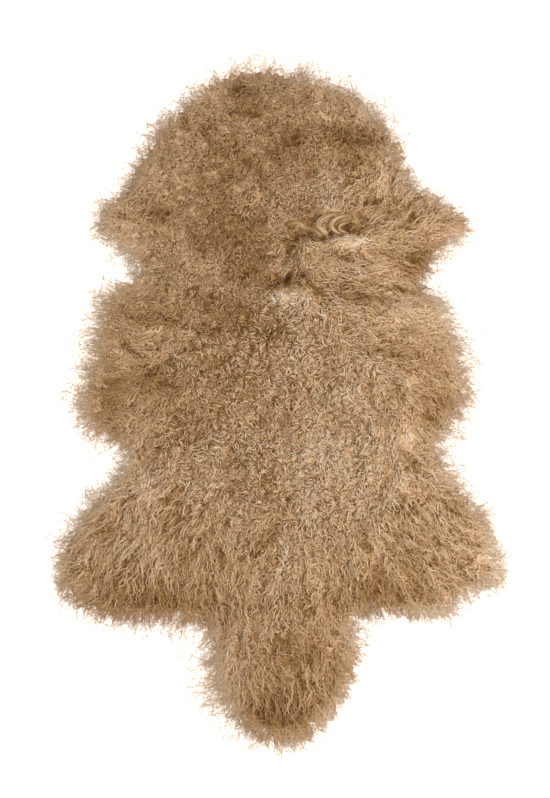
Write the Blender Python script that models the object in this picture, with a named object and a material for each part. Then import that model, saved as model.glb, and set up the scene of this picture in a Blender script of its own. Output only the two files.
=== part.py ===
"""Sheepskin rug: one whole pelt lying flat, wool side up.

Metres, +Z up. The neck points along +Y and the tail along -Y. The origin is the middle of the
rug's box, on the floor, so the flat skin side lies at z = 0. The wool is a lumpy slab that rises
from a low rim to the back, with swells and hollows where the fleece parts, and loose locks all
round its rim that lie level on the floor.
"""

import math
import random
from collections import namedtuple

import bmesh
import bpy
import numpy as np
from mathutils import Vector, geometry, noise

MM = 0.001

# Driving dimensions.
WOOL_HEIGHT = 44 * MM  # the fleece at the middle of the back
RIM_HEIGHT = 13 * MM  # the fleece at the slab's rim, where the locks spring from it
RIM_RISE = 80 * MM  # the fleece climbs from the rim to its full height over this distance
LOCK_COUNT = 216
ROOT_SHARE = 0.76  # a lock's root takes this share of its stretch of rim, and the rest is gap
GRID_PITCH = 18 * MM  # spacing of the points on the open parts of the back
FOLD_PITCH = 11 * MM  # spacing of the points along a fold
LEAST_PITCH = 9 * MM  # no two points of the back are nearer than this
RIM_SHELF = 9 * MM  # a ring of points this far inside the rim rounds its shoulder
LUMP_SIZE = 46 * MM
LUMP_HEIGHT = 4.5 * MM

# A lock between its root and its tip.
LOCK_SECTIONS = (0.26, 0.52, 0.78)  # shares of its length
LOCK_WIDTHS = (0.95, 0.78, 0.5)  # shares of its root's width
LOCK_HEIGHTS = (0.82, 0.62, 0.36)  # shares of the rim's height
TUFT_LOCKS = 3.6  # about this many neighbours hang together, with like lengths and bends
TUFT_SPREAD = 0.6  # lengths differ by up to this share from tuft to tuft
LOCK_SPREAD = 0.14  # and by this share within a tuft
TUFT_SWING = 0.5  # the tips of a tuft swing aside by up to this share of their length
LOCK_SWING = 0.03  # and each lock by this share more
TUFT_WAVE = 0.24  # a tuft's locks wave from side to side by up to this share of their length
WAVE_TURN = 1.5 * math.pi  # from root to tip a lock goes through this much of a wave
LEAN_SHARE = 0.6  # a lock leans this share of the way from square to the rim to the combed way
MOST_LEAN = math.radians(34)  # and at most this far
NOTCH_SHARE = 0.4  # in a notch a lock is no longer than this share of the notch's radius
NOISE_ROWS = (0, 9.5, 21.5)  # where the tufts' lengths, swings and waves are read off the noise

WOOL_COLOUR = (0.392, 0.251, 0.138, 1)
WOOL_ROUGHNESS = 0.9

Place = namedtuple("Place", "name x y reach comb")
Fold = namedtuple("Fold", "name x1 y1 x2 y2 half_width rise")
Lie = namedtuple("Lie", "reach swing wave")

# The slab's rim, anticlockwise seen from above, in millimetres. reach is how far the locks stand
# past it, and comb is the way in which the wool is combed there, in degrees from +X.
OUTLINE = [
    Place("neck_top", -22, 446, 26, 92),
    Place("neck_left", -73, 439, 24, 105),
    Place("neck_corner_left", -124, 414, 22, 130),
    Place("throat_left", -172, 345, 26, 150),
    Place("shoulder_left", -199, 292, 26, 150),
    Place("foreleg_tip_left", -234, 254, 31, 175),
    Place("foreleg_under_left", -219, 222, 26, 210),
    Place("armpit_left", -184, 187, 18, 185),
    Place("ribs_top_left", -230, 144, 30, 165),
    Place("ribs_left", -243, 82, 34, 180),
    Place("belly_left", -251, 11, 38, 195),
    Place("flank_fold_left", -227, -25, 34, 210),
    Place("waist_left", -203, -53, 22, 195),
    Place("haunch_top_left", -211, -88, 24, 165),
    Place("haunch_left", -251, -137, 27, 165),
    Place("hind_leg_left", -286, -196, 28, 185),
    Place("hind_leg_tip_left", -284, -240, 26, 215),
    Place("buttock_left", -224, -268, 27, 245),
    Place("rump_left", -153, -276, 27, 255),
    Place("tail_root_left", -91, -283, 20, 240),
    Place("tail_side_left", -87, -344, 30, 225),
    Place("tail_low_left", -57, -408, 33, 245),
    Place("tail_tip", 9, -441, 34, 268),
    Place("tail_low_right", 75, -396, 20, 300),
    Place("tail_side_right", 101, -330, 19, 324),
    Place("tail_root_right", 98, -280, 18, 312),
    Place("rump_right", 144, -267, 21, 285),
    Place("buttock_right", 208, -267, 23, 290),
    Place("hind_leg_under_right", 259, -240, 20, 300),
    Place("hind_leg_tip_right", 294, -225, 19, 325),
    Place("hind_leg_right", 287, -191, 22, 345),
    Place("haunch_right", 267, -145, 23, 355),
    Place("haunch_top_right", 232, -99, 21, 355),
    Place("waist_right", 214, -49, 20, 335),
    Place("flank_fold_right", 226, -13, 25, 325),
    Place("belly_right", 243, 21, 28, 340),
    Place("ribs_right", 236, 82, 30, 355),
    Place("ribs_top_right", 216, 141, 23, 365),
    Place("armpit_right", 186, 173, 18, 350),
    Place("foreleg_under_right", 218, 226, 24, 325),
    Place("foreleg_tip_right", 247, 249, 17, 360),
    Place("shoulder_right", 218, 281, 17, 390),
    Place("throat_base_right", 175, 308, 18, 380),
    Place("throat_right", 148, 358, 22, 385),
    Place("neck_corner_right", 110, 411, 25, 410),
    Place("neck_right", 54, 435, 22, 430),
]

# The swells and hollows of the fleece, each a straight soft ridge or trough, in millimetres.
FOLDS = [
    Fold("parting", 49, 242, 112, 248, 12, -8),
    Fold("parting_bend", 41, 239, 23, 220, 12, -6),
    Fold("parting_lip", 59, 222, 109, 227, 13, 6),
    Fold("whorl", 19, 210, 5, 174, 12, -7),
    Fold("back_swell", -11, 154, 32, 139, 15, 6),
    Fold("saddle_hollow", -59, 116, -13, 103, 14, -6),
    Fold("neck_hollow", -68, 428, -27, 426, 13, -5),
    Fold("neck_swell", -22, 399, -7, 376, 20, 4),
    Fold("throat_hollow", 57, 381, 124, 358, 15, -7),
    Fold("throat_swell", -153, 311, -112, 322, 20, 4),
    Fold("shoulder_swell", 37, 338, 90, 271, 22, 5),
    Fold("shoulder_hollow", -173, 264, -143, 267, 13, -6),
    Fold("shoulder_groove", 83, 163, 144, 145, 11, -6),
    Fold("armpit_hollow", 177, 211, 180, 188, 13, -5),
    Fold("rib_hollow_right", 142, 93, 209, 93, 12, -6),
    Fold("rib_hollow_left", -173, 133, -108, 109, 13, -6),
    Fold("flank_groove_left", -189, 38, -143, 71, 11, -5),
    Fold("belly_hollow_left", -225, 34, -225, -12, 13, -5),
    Fold("rump_hollow", -13, -80, -11, -112, 14, -5),
    Fold("haunch_groove_outer", -207, -141, -245, -196, 10, -5),
    Fold("haunch_groove_middle", -173, -154, -208, -234, 11, -4),
    Fold("haunch_groove_inner", -119, -94, -145, -175, 11, -5),
    Fold("haunch_groove_right", 147, -154, 187, -219, 12, -4),
    Fold("tail_groove", 2, -283, 35, -326, 12, -5),
    Fold("tail_hollow", -3, -384, -1, -412, 14, -6),
]


def closed_curve(points, steps):
    """A smooth closed curve through the points, with this many steps to a span (Catmull-Rom)."""
    before, after, beyond = (np.roll(points, shift, axis=0) for shift in (1, -1, -2))
    t = (np.arange(steps) / steps)[None, :, None]
    p0, p1, p2, p3 = (p[:, None, :] for p in (before, points, after, beyond))
    curve = 0.5 * (
        2 * p1
        + (p2 - p0) * t
        + (2 * p0 - 5 * p1 + 4 * p2 - p3) * t**2
        + (3 * p1 - p0 - 3 * p2 + p3) * t**3
    )
    return curve.reshape(-1, points.shape[1])


def along(curve, distances):
    """The points of a closed curve at these distances along its first two columns."""
    closed = np.vstack([curve, curve[:1]])
    steps = np.linalg.norm(np.diff(closed[:, :2], axis=0), axis=1)
    run = np.concatenate([[0], np.cumsum(steps)])
    wrapped = np.mod(distances, run[-1])
    return np.stack([np.interp(wrapped, run, column) for column in closed.T], axis=1)


def outline_curve():
    """The rim's smooth curve, with columns x, y, reach and comb, in metres and radians."""
    rows = [(p.x * MM, p.y * MM, p.reach * MM, math.radians(p.comb)) for p in OUTLINE]
    curve = np.array(rows)
    curve[:, 3] = np.unwrap(curve[:, 3])
    turn = round((curve[-1, 3] - curve[0, 3]) / math.tau) * math.tau
    curve[:, 3] -= turn * np.arange(len(curve)) / len(curve)
    smooth = closed_curve(curve, 12)
    smooth[:, 3] += turn * np.arange(len(smooth)) / len(smooth)
    return smooth


def outline_length(curve):
    closed = np.vstack([curve[:, :2], curve[:1, :2]])
    return np.linalg.norm(np.diff(closed, axis=0), axis=1).sum()


def rim_points(curve):
    """The start and the end of each lock's root along the rim, in turn."""
    pitch = outline_length(curve) / LOCK_COUNT
    starts = np.arange(LOCK_COUNT) * pitch
    distances = np.stack([starts, starts + ROOT_SHARE * pitch], axis=1).ravel()
    return along(curve, distances)[:, :2]


def outward(rim):
    """The unit direction out of the rug at each point of its anticlockwise rim."""
    tangents = np.roll(rim, -1, axis=0) - np.roll(rim, 1, axis=0)
    normals = np.stack([tangents[:, 1], -tangents[:, 0]], axis=1)
    return normals / np.linalg.norm(normals, axis=1)[:, None]


def rim_distance(points, rim):
    """How far each point lies from the rim's nearest side."""
    start = rim[None, :, :]
    side = np.roll(rim, -1, axis=0)[None, :, :] - start
    offset = points[:, None, :] - start
    share = np.clip((offset * side).sum(axis=2) / (side**2).sum(axis=2), 0, 1)
    return np.linalg.norm(offset - share[..., None] * side, axis=2).min(axis=1)


def inside_rim(points, rim):
    """Whether each point lies inside the rim: a ray to its right crosses the rim an odd number of times."""
    a = rim[None, :, :]
    b = np.roll(rim, -1, axis=0)[None, :, :]
    x, y = points[:, 0:1], points[:, 1:2]
    straddles = (a[..., 1] > y) != (b[..., 1] > y)
    level = np.where(b[..., 1] == a[..., 1], 1, b[..., 1] - a[..., 1])
    crossing = a[..., 0] + (y - a[..., 1]) * (b[..., 0] - a[..., 0]) / level
    return (straddles & (x < crossing)).sum(axis=1) % 2 == 1


def fold_points():
    """Points along each fold's bottom or crest and along its two flanks."""
    points = []
    for fold in FOLDS:
        start = np.array((fold.x1, fold.y1)) * MM
        end = np.array((fold.x2, fold.y2)) * MM
        length = np.linalg.norm(end - start)
        side = np.array((start[1] - end[1], end[0] - start[0])) / length
        count = max(2, round(length / FOLD_PITCH))
        for offset in (0, 1.25, -1.25):
            for share in np.linspace(0, 1, count + 1):
                points.append(start + share * (end - start) + offset * fold.half_width * MM * side)
    return np.array(points)


def grid_points(rim):
    """A triangular grid over the rug's box."""
    low, high = rim.min(axis=0), rim.max(axis=0)
    row_pitch = GRID_PITCH * math.sqrt(3) / 2
    rows = np.arange(low[1], high[1], row_pitch)
    points = []
    for number, y in enumerate(rows):
        first = low[0] + (number % 2) * GRID_PITCH / 2
        points += [(x, y) for x in np.arange(first, high[0], GRID_PITCH)]
    return np.array(points)


def back_points(rim):
    """The points of the fleece inside its rim: the shelf's ring, the folds' points, then the grid's."""
    shelf = rim[::2] - RIM_SHELF * outward(rim)[::2]
    wanted = np.vstack([shelf, fold_points(), grid_points(rim)])
    room = inside_rim(wanted, rim) & (rim_distance(wanted, rim) > 0.8 * RIM_SHELF)
    kept = []
    for point in wanted[room]:
        if not kept or np.linalg.norm(np.array(kept) - point, axis=1).min() > LEAST_PITCH:
            kept.append(point)
    return np.array(kept)


def fold_rise(points):
    """How far the folds lift or sink each point."""
    rise = np.zeros(len(points))
    for fold in FOLDS:
        start = np.array((fold.x1, fold.y1)) * MM
        run = np.array((fold.x2, fold.y2)) * MM - start
        share = np.clip((points - start) @ run / (run @ run), 0, 1)
        away = np.linalg.norm(points - start - share[:, None] * run, axis=1)
        rise += fold.rise * MM * np.exp(-((away / (fold.half_width * MM)) ** 2))
    return rise


def wool_height(points, rim):
    """The fleece's top: a quarter wave up from the rim, with folds and lumps that fade towards it."""
    share = np.clip(rim_distance(points, rim) / RIM_RISE, 0, 1)
    dome = RIM_HEIGHT + (WOOL_HEIGHT - RIM_HEIGHT) * np.sin(share * math.pi / 2) ** 0.8
    lumps = np.array([noise.noise(Vector((x, y, 0)) / LUMP_SIZE) for x, y in points])
    relief = fold_rise(points) + LUMP_HEIGHT * 2 * lumps
    return dome + relief * np.clip(share * 2.5, 0, 1)


def lock_point(share, root, heading, lie):
    """The point of a lock's middle line at this share of its length: forward, aside and waving."""
    forward = np.array((math.cos(heading), math.sin(heading)))
    side = np.array((-forward[1], forward[0]))
    aside = lie.swing * share**2 + lie.wave * share * math.sin(share * WAVE_TURN)
    return root + lie.reach * (share * forward + aside * side)


def lock_headings(combs, normals):
    """The way each lock lies: square to the rim, leaning towards the combed way up to a limit."""
    square = np.arctan2(normals[:, 1], normals[:, 0])
    lean = (combs - square + math.pi) % math.tau - math.pi
    return square + MOST_LEAN * np.tanh(LEAN_SHARE * lean / MOST_LEAN)


def notch_radius(rim, normals):
    """The radius of the rim's hollow at each lock, and a very large one where the rim bulges."""
    angles = np.unwrap(np.arctan2(normals[:, 1], normals[:, 0]))
    span = 3
    turn = np.roll(angles, -span) - np.roll(angles, span)
    turn = (turn + math.pi) % math.tau - math.pi
    ahead, behind = np.roll(rim, -span, axis=0), np.roll(rim, span, axis=0)
    chord = np.linalg.norm(ahead - behind, axis=1)
    return chord / np.maximum(-turn, 1e-3)


def add_slab(bm, rim):
    """The slab's wool top, its flat skin side and its rim wall. It returns the wall's faces."""
    back = back_points(rim)
    flat = np.vstack([rim, back])
    heights = np.concatenate([np.full(len(rim), RIM_HEIGHT), wool_height(back, rim)])
    rim_count = len(rim)
    sides = [(k, (k + 1) % rim_count) for k in range(rim_count)]
    inside_only = 1
    triangles = geometry.delaunay_2d_cdt(
        [Vector(point) for point in flat], sides, [], inside_only, 1e-7
    )[2]
    top = [bm.verts.new((x, y, z)) for (x, y), z in zip(flat, heights)]
    for a, b, c in triangles:
        bm.faces.new((top[a], top[b], top[c]))
    floor = [bm.verts.new((x, y, 0)) for x, y in rim]
    skin = bm.faces.new(list(reversed(floor)))
    bmesh.ops.triangulate(bm, faces=[skin])
    return [bm.faces.new((floor[a], floor[b], top[b], top[a])) for a, b in sides]


def add_lock(bm, root_face, heading, lie):
    """Draws one root face out into a tapering lock that lies on the floor."""
    corners = np.array([corner.co for corner in root_face.verts])
    root = corners[:2, :2].mean(axis=0)
    half_width = np.linalg.norm(corners[1, :2] - corners[0, :2]) / 2
    face = root_face
    for share, width, height in zip(LOCK_SECTIONS, LOCK_WIDTHS, LOCK_HEIGHTS):
        behind, middle, ahead = (
            lock_point(share + step, root, heading, lie) for step in (-0.05, 0, 0.05)
        )
        along_lock = (ahead - behind) / np.linalg.norm(ahead - behind)
        side = np.array((-along_lock[1], along_lock[0])) * half_width * width
        face = bmesh.ops.extrude_discrete_faces(bm, faces=[face])["faces"][0]
        places = (middle - side, middle + side, middle + side, middle - side)
        tops = (0, 0, RIM_HEIGHT * height, RIM_HEIGHT * height)
        for vert, place, z in zip(face.verts, places, tops):
            vert.co = (place[0], place[1], z)
    tip = bmesh.ops.poke(bm, faces=[face])["verts"][0]
    tip.co = (*lock_point(1, root, heading, lie), 0)


def add_locks(bm, walls, rim_curve):
    """One lock on every other face of the rim wall, shorter and straighter in the notches."""
    draw = random.Random(11)
    pitch = outline_length(rim_curve) / LOCK_COUNT
    middles = along(rim_curve, (np.arange(LOCK_COUNT) + ROOT_SHARE / 2) * pitch)
    normals = outward(middles[:, :2])
    headings = lock_headings(middles[:, 3], normals)
    longest = NOTCH_SHARE * notch_radius(middles[:, :2], normals)
    room = np.minimum(1, longest / middles[:, 2])
    for number in range(LOCK_COUNT):
        tuft = number / TUFT_LOCKS
        longer, aside, waving = (noise.noise((tuft, row, 0)) for row in NOISE_ROWS)
        spread = TUFT_SPREAD * longer + draw.uniform(-LOCK_SPREAD, LOCK_SPREAD)
        swing = TUFT_SWING * aside + draw.uniform(-LOCK_SWING, LOCK_SWING)
        wave = TUFT_WAVE * waving
        reach = min(middles[number, 2] * (1 + spread), longest[number])
        lie = Lie(reach, swing * room[number], wave * room[number])
        add_lock(bm, walls[2 * number], headings[number], lie)


def centre_on_floor(bm):
    """Moves the rug so that the origin is the middle of its box, seen from above."""
    points = np.array([vert.co for vert in bm.verts])
    middle = (points.min(axis=0) + points.max(axis=0)) / 2
    bmesh.ops.translate(bm, verts=bm.verts, vec=(-middle[0], -middle[1], 0))


def wool_material():
    material = bpy.data.materials.new("wool")
    material.use_nodes = True
    shader = material.node_tree.nodes["Principled BSDF"]
    shader.inputs["Base Color"].default_value = WOOL_COLOUR
    shader.inputs["Roughness"].default_value = WOOL_ROUGHNESS
    shader.inputs["Metallic"].default_value = 0
    material.diffuse_color = WOOL_COLOUR
    return material


def make_sheepskin():
    rim_curve = outline_curve()
    rim = rim_points(rim_curve)
    bm = bmesh.new()
    walls = add_slab(bm, rim)
    add_locks(bm, walls, rim_curve)
    centre_on_floor(bm)
    mesh = bpy.data.meshes.new("sheepskin")
    bm.to_mesh(mesh)
    bm.free()
    mesh.materials.append(wool_material())
    mesh.shade_smooth()
    mesh.set_sharp_from_angle(angle=math.radians(50))
    sheepskin = bpy.data.objects.new("sheepskin", mesh)
    bpy.context.scene.collection.objects.link(sheepskin)
    return sheepskin


for thing in list(bpy.data.objects):
    bpy.data.objects.remove(thing, do_unlink=True)
make_sheepskin()
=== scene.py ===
import math
from collections import namedtuple

import bpy
import numpy as np
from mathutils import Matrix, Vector, geometry


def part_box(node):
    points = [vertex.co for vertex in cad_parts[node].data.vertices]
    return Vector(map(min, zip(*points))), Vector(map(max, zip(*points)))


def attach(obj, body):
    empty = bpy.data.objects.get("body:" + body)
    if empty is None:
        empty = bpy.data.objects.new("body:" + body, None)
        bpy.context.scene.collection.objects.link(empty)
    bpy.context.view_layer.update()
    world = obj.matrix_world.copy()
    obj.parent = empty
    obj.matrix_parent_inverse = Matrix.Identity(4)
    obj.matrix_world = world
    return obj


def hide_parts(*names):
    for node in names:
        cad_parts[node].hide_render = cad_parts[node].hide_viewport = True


# A whole sheepskin laid wool side up: the tanned skin, a dense bed of wool on it, and the curly
# strands that grow out of the bed and stand past its rim. Lengths are in metres, and +Y runs from
# the tail to the neck. The tables, and what is named below as in millimetres, become metres where
# they are read. Angles are in radians, and in the tables in degrees. A pair that at_share reads
# holds a value, and how much is added to it at a share of 1. Other pairs are the two ends of a
# range or a band.

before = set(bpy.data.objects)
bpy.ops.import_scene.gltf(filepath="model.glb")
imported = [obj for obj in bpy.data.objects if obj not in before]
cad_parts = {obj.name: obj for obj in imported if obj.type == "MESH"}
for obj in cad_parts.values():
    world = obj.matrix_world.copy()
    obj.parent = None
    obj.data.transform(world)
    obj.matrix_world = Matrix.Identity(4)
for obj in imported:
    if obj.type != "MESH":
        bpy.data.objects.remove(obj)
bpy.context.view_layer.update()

MM = 0.001
TAU = math.tau

PITCH = 3 * MM  # spacing of the grids that hold heights and distances
MARGIN = 60 * MM  # the grids reach this far past the solid
PART_SIZE = 4000  # distances to the rim are worked out for about this many points at a time
RIM_STEPS = 10  # points of the rim's curve to each place in its table
PROBE_HEIGHT = 0.2  # the solid's top is felt for from this height
GROUND_LOWEST = 0.6 * MM
TOP_PASSES = 3  # how often the solid's top is softened

SKIN_THICKNESS = 2 * MM
SKIN_INSET = 6.5 * MM  # the tanned skin ends this far inside the wool's rim
SKIN_STEP = 6 * MM  # between the points of its edge
SKIN_PITCH = 18 * MM
SKIN_UNDERCUT = 0.6 * MM

BED_INSET = 4.4 * MM
BED_TEETH = (-4 * MM, 4 * MM)  # its rim runs in and out between these, a tuft at a time
BED_TOOTH = 3 * MM
BED_PITCH = 4.5 * MM
BED_BOTTOM = 2.3 * MM
BED_THINNEST = 2.5 * MM
BED_SINK = 5.5 * MM  # the bed lies this far under the solid's top, and the strands fill the rest
BED_SINK_BAND = (-5 * MM, 30 * MM)  # across the rim, from no sink to the whole of it
BED_UNDERCUT = 1.5 * MM
BED_RELIEF_BAND = (0, 20 * MM)  # swells and grooves grow to their whole height over this band
SWELL_PITCH = 11 * MM
SWELL_RISE = 1.3 * MM  # small random swells of the bed
GROOVE_RISE = 1.7 * MM  # and the ridges between its combed grooves
GROOVE_EDGE = (0.5, 1.6)  # how low the combed grain falls at a groove's edge and at its bottom
FINE_CREASE = 0.8 * MM  # the bed's triangles are half the size where a crease is deeper than this
BED_RIM_BAND = (0, 14 * MM)  # the bed is painted lighter in this band, painted light at its rim
BED_LIGHT = 0.3  # how much lighter it is painted there, and darker where the wool is open, as painted shade deep in its gaps
BED_OPEN_MEAN = 0.75
# Painted light on the bed: paler on the ridges of its grooves, and darker in them as painted shade.
BED_GROOVE_TONE = 0.03
BED_GROOVE_SHADE = 0.16
UNDERSIDE_PITCHES = 4  # a slab's underside has triangles this many times as wide
UNDERSIDE_PLAN_SIZE = 0.3  # the plan of a slab's underside on its map
UNDERSIDE_PLAN_PLACE = (0.7, 0.05)
SHEET_ROOM = 0.6  # no inner point of a sheet lies within this share of its pitch of its edge

# How the wool lies.
COMB_BLUR = 25 * MM
SWAY_PITCH, SWAY_SHARE = 16 * MM, 0.55  # small swirls, and the share of the comb's spread they turn it by
DRIFT_PITCH, DRIFT_SHARE = 45 * MM, 0.35  # large swirls
TURNING_BAND = (5 * MM, 40 * MM)  # nearer to the rim than this, the comb starts to turn outwards
TURNING_SHARE = 0.35
GROOVE_PITCH = 3.6 * MM
GROOVE_RUN = np.linspace(-18, 18, 9)[:, None] * MM  # a groove's grain is averaged over this run
STREAK_PITCH, STREAK_SHARE = 8 * MM, 0.7
STREAK_RUN = 1.4 * GROOVE_RUN
BLOTCH_PITCH, BLOTCH_SHARE = 24 * MM, 0.4
BLOTCH = 0.055  # how much the tone wanders from place to place
TONE_GAIN = 1.25  # the lie of the strands blurs the tones in the table, so they start stronger
OUTWARD_STEP = 4 * MM

# Staples: the locks of wool, and what the strands of one of them share.
STAPLE_PITCH = 8.8 * MM
STAPLE_JITTER = (-0.42, 0.42)  # shares of a pitch
STAPLE_STRANDS = 5
STAPLE_WIDTH = 3.8 * MM
RIM_STAPLES = 500
RIM_STAPLE_DEPTH = (1, 15)  # they spring this far inside the rim, in millimetres
ROOT_ROOM = 2 * MM  # no staple of the grid springs nearer to the rim than this
COMBED_CURL = 0.6  # wool that curls less than this is combed: fewer strands, of more rings
COMBED_SHARE = 0.62  # this share of the staples is left in combed wool
CURLY_BAND = (0.5, 0.9)  # the curl from which wool starts to be curly, and is wholly so
HEADING_STRAY = 0.22  # how far a staple strays from the comb, as a share of the comb's spread
TURN, CURLY_TURN = (0, 1), (0.6, 3.4)  # how far a strand turns over its length, and a curly one more
SWING, SWING_RANGE = (0.48, 0.34), (0.75, 1.25)  # how far its crimp swings to each side
WAVES, WAVES_RANGE = (2.0, -0.7), (0.85, 1.15)  # how many waves of crimp it has
LENGTH_RANGE = (0.75, 1.25)
LIFT, LIFT_STRAY = (2.6, 1.2), 0.5  # how far it stands over the bed, in millimetres
TONE_MEAN = 0.55
TONE_STRAY, CALM = 0.035, (0.5, 0.5)  # felted wool is calmer: its tone strays less

# The strands of a staple.
STRAND_RADIUS = 1.02 * MM
STRAND_LENGTH = 17.5 * MM
RADIUS_RANGE = (0.6, 1.25)
STRAND_RANGE = (0.8, 1.2)
STAPLE_LOOSENESS = (1.4, -0.4)  # combed staples are this much wider than curly ones
STAPLE_CORE = 0.02  # no strand springs within this share of its staple's area, at the middle
GATHER = 0.3  # how far the strands at a staple's sides lean in
STRAND_STRAY = (0.08, 0.06)  # how far a strand's heading strays from its staple's
PHASE_STRAY = (0.3, 0.5)
DOME = 0.55  # how much lower a staple is at its sides
STRAND_LIFT_STRAY, GROOVE_DROP = 0.9, 2.2  # in millimetres
GROOVE_TONE, GROOVE_SHADE = 0.02, (0.04, 0.18)  # strands are painted paler on ridges and darker in grooves: painted highlight and painted shade
OPEN_TONE, STRAND_TONE_STRAY = (-0.03, 0.08), (0.025, 0.05)  # open wool is paler and more mixed
RIM_BAND = (3 * MM, 28 * MM)  # from this band's inner edge outwards, strands are finer, taper more, and are painted lighter, as painted light at the rim
RIM_SHORTER, RIM_THINNER, RIM_LIGHTER = (1, -0.35), (1, -0.2), 0.13
FELTED_START, RIM_START = 0.42, 0.2  # the share of its dark root, which is painted shade, that a strand leaves out of its map
START_RANGE, FINISH_RANGE = (0, 0.6), (0.9, 1)
CREST = 0.4  # the crimp's crests are this share of a strand apart
CREST_RISE = 0.9 * MM
ROOT_SINK = 1.2 * MM  # a strand's root lies this far under the bed's top
ROOT_NECK = 0.8  # and it is this share of the strand as thick
RISING, DROOPING = (0, 0.25), (0.55, 1)  # shares of a strand over which it rises and droops
TAPER, TAPER_POWER = (0.5, 0.35), (4, -2.4)
RESTING, CLEARANCE = 0.6, 0.2 * MM  # a strand's middle stays this share of its radius and this far up
CURLY_RINGS, CURLY_DROOP = 4, 0.55
COMBED_RINGS, COMBED_DROOP = 6, 0.3
TONE_LIMITS = (0.3, 0.98)
SIDE_SHADE = 0.2  # painted shade: a strand's tone falls by this much from its ridge down to its lower sides
SIDE_SHADES = (0, 1, 1.3, 0)  # the shares of it at the corners round a strand
# The neck's wool lies above the first line, the shoulders' between it and the next, and so on.
REGIONS = {
    "neck": 300,
    "shoulders": 185,
    "ribs": 75,
    "belly": -40,
    "loin": -150,
    "haunches": -250,
    "tail": -600,
}

# The fringe.
FRINGE_TUFTS = 2950
FRINGE_TUFT_STRANDS = 3
FRINGE_RADIUS = 0.28 * MM
FRINGE_RADIUS_RANGE, FRINGE_FINER = (0.7, 1.25), (1.1, -0.3)
FRINGE_MEAN_REACH = 0.64  # a share of the reach in the table
FRINGE_REACH_RANGE, FRINGE_REACH_LIMITS = (0.75, 1.25), (0.08, 1.5)
FRINGE_ROOT_DEPTH = (-1, 16)  # a tuft springs this far inside the rim, in millimetres
FRINGE_ROOT_STRAY = 2 * MM
FRINGE_RUN_STRAY = 2.2 * MM
TUFT_STRAY, WISP_STRAY = 0.42, 0.3
COMB_SHARE = 0.6  # how much of the way it turns from straight out to the comb in the table
SHORTEST_BACK = 2 * MM
BACK_SLACK, REACH_SLACK = 1.2, (2.5, 0.7)  # a curly strand is this many times as long as it reaches
FRINGE_SWING, FRINGE_TURN = (0.5, 1.2), (0.3, 2.4)
FRINGE_WAVE = (9, 15)  # the length of one wave, in millimetres
FRINGE_TONE, FRINGE_TONE_SHARE, FRINGE_TONE_STRAY = 0.84, 0.6, 0.08
FRINGE_LIFT = (-2, 5)  # in millimetres
FRINGE_RISING, FRINGE_TAPER = (0, 0.3), (1, -0.6)
SHORT_FRINGE, LONG_FRINGE = 14 * MM, 26 * MM  # the longest short strand and the shortest long one
CURLY_FRINGE = 0.55  # long strands that curl more than this are in the curly piece
ROOM = (0.342, 0.516)  # no strand of the fringe reaches further out than this, in x and y

# The ringlets.
RINGLET_STRANDS = 8
RINGLET_RINGS = 14
RINGLET_ROOM = 5 * MM  # no other wool springs this near to a ringlet's line
RINGLET_WIDTH = (0.35, 0.65)
RINGLET_LAYERS = ((0, 1.0), (1, 0.55))  # each layer's number, and its width
RINGLET_SWAY, RINGLET_SWAYS = 0.09, 2
RINGLET_RADIUS, RINGLET_TAPER = 0.62 * MM, 0.5
RINGLET_LIFT, RINGLET_LAYER_LIFT, RINGLET_LIFT_STRAY = 4.0, 0.8, 0.3  # in millimetres
RINGLET_CROWN, RINGLET_SIDE_SHADE = 8, 0.2  # its sides are lower, and painted darker by the square of their place, as painted shade
# The upper layer of a ringlet is painted lighter, as painted light on its top.
RINGLET_TONE, RINGLET_LAYER_TONE, RINGLET_TONE_STRAY = 0.57, 0.03, 0.16
RINGLET_ENDS = (0.06, 0.94)  # a ringlet's arch levels off at these shares of it

# The camera looks straight down at this point, and this much of the floor fills its picture.
VIEW_X, VIEW_Y = -4.2 * MM, 15.2 * MM
VIEW_HEIGHT = 1077.3 * MM
CAMERA_HEIGHT = 4.0
SENSOR = 36
FLOOR_HALF = 4.0

# Ramps of a colour at each share. Along a strand the ramp is painted light: painted shade at its root and
# in the troughs of its crimp, and painted highlights on its crests.
ROOT_SHADE = (0.46, 0.36, 0.24, 1)
TROUGH_SHADE, RIDGE_HIGHLIGHT = (0.82, 0.77, 0.69, 1), (1.09, 1.09, 1.09, 1)
WOOL_BROWNS = (
    (0.0, (0.20, 0.09, 0.02, 1)),
    (0.25, (0.377, 0.222, 0.093, 1)),
    (0.5, (0.528, 0.363, 0.214, 1)),
    (0.75, (0.602, 0.462, 0.326, 1)),
    (1.0, (0.74, 0.652, 0.54, 1)),
)
CURLY_SHADES = (
    (0.0, ROOT_SHADE),
    (0.2, (0.76, 0.69, 0.59, 1)),
    (0.4, (1.03, 1.03, 1.03, 1)),
    (0.58, (0.84, 0.79, 0.71, 1)),
    (0.8, (1.08, 1.08, 1.08, 1)),
    (1.0, (0.88, 0.83, 0.76, 1)),
)
COMBED_SHADES = (
    (0.0, ROOT_SHADE),
    (0.1, (0.78, 0.71, 0.62, 1)),
    *((tenth / 10, TROUGH_SHADE if tenth % 2 else RIDGE_HIGHLIGHT) for tenth in range(2, 10)),
    (1.0, (1.0, 1.0, 1.0, 1)),
)
# Painted light along a fringe strand: lighter and warmer near its root, darker and greyer out at its tip.
FRINGE_SHADES = (
    (0.0, (0.88, 0.76, 0.59, 1)),
    (0.2, (1.11, 1.01, 0.87, 1)),
    (0.42, (0.88, 0.79, 0.68, 1)),
    (0.7, (0.84, 0.86, 0.92, 1)),
    (1.0, (0.70, 0.71, 0.78, 1)),
)
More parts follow.
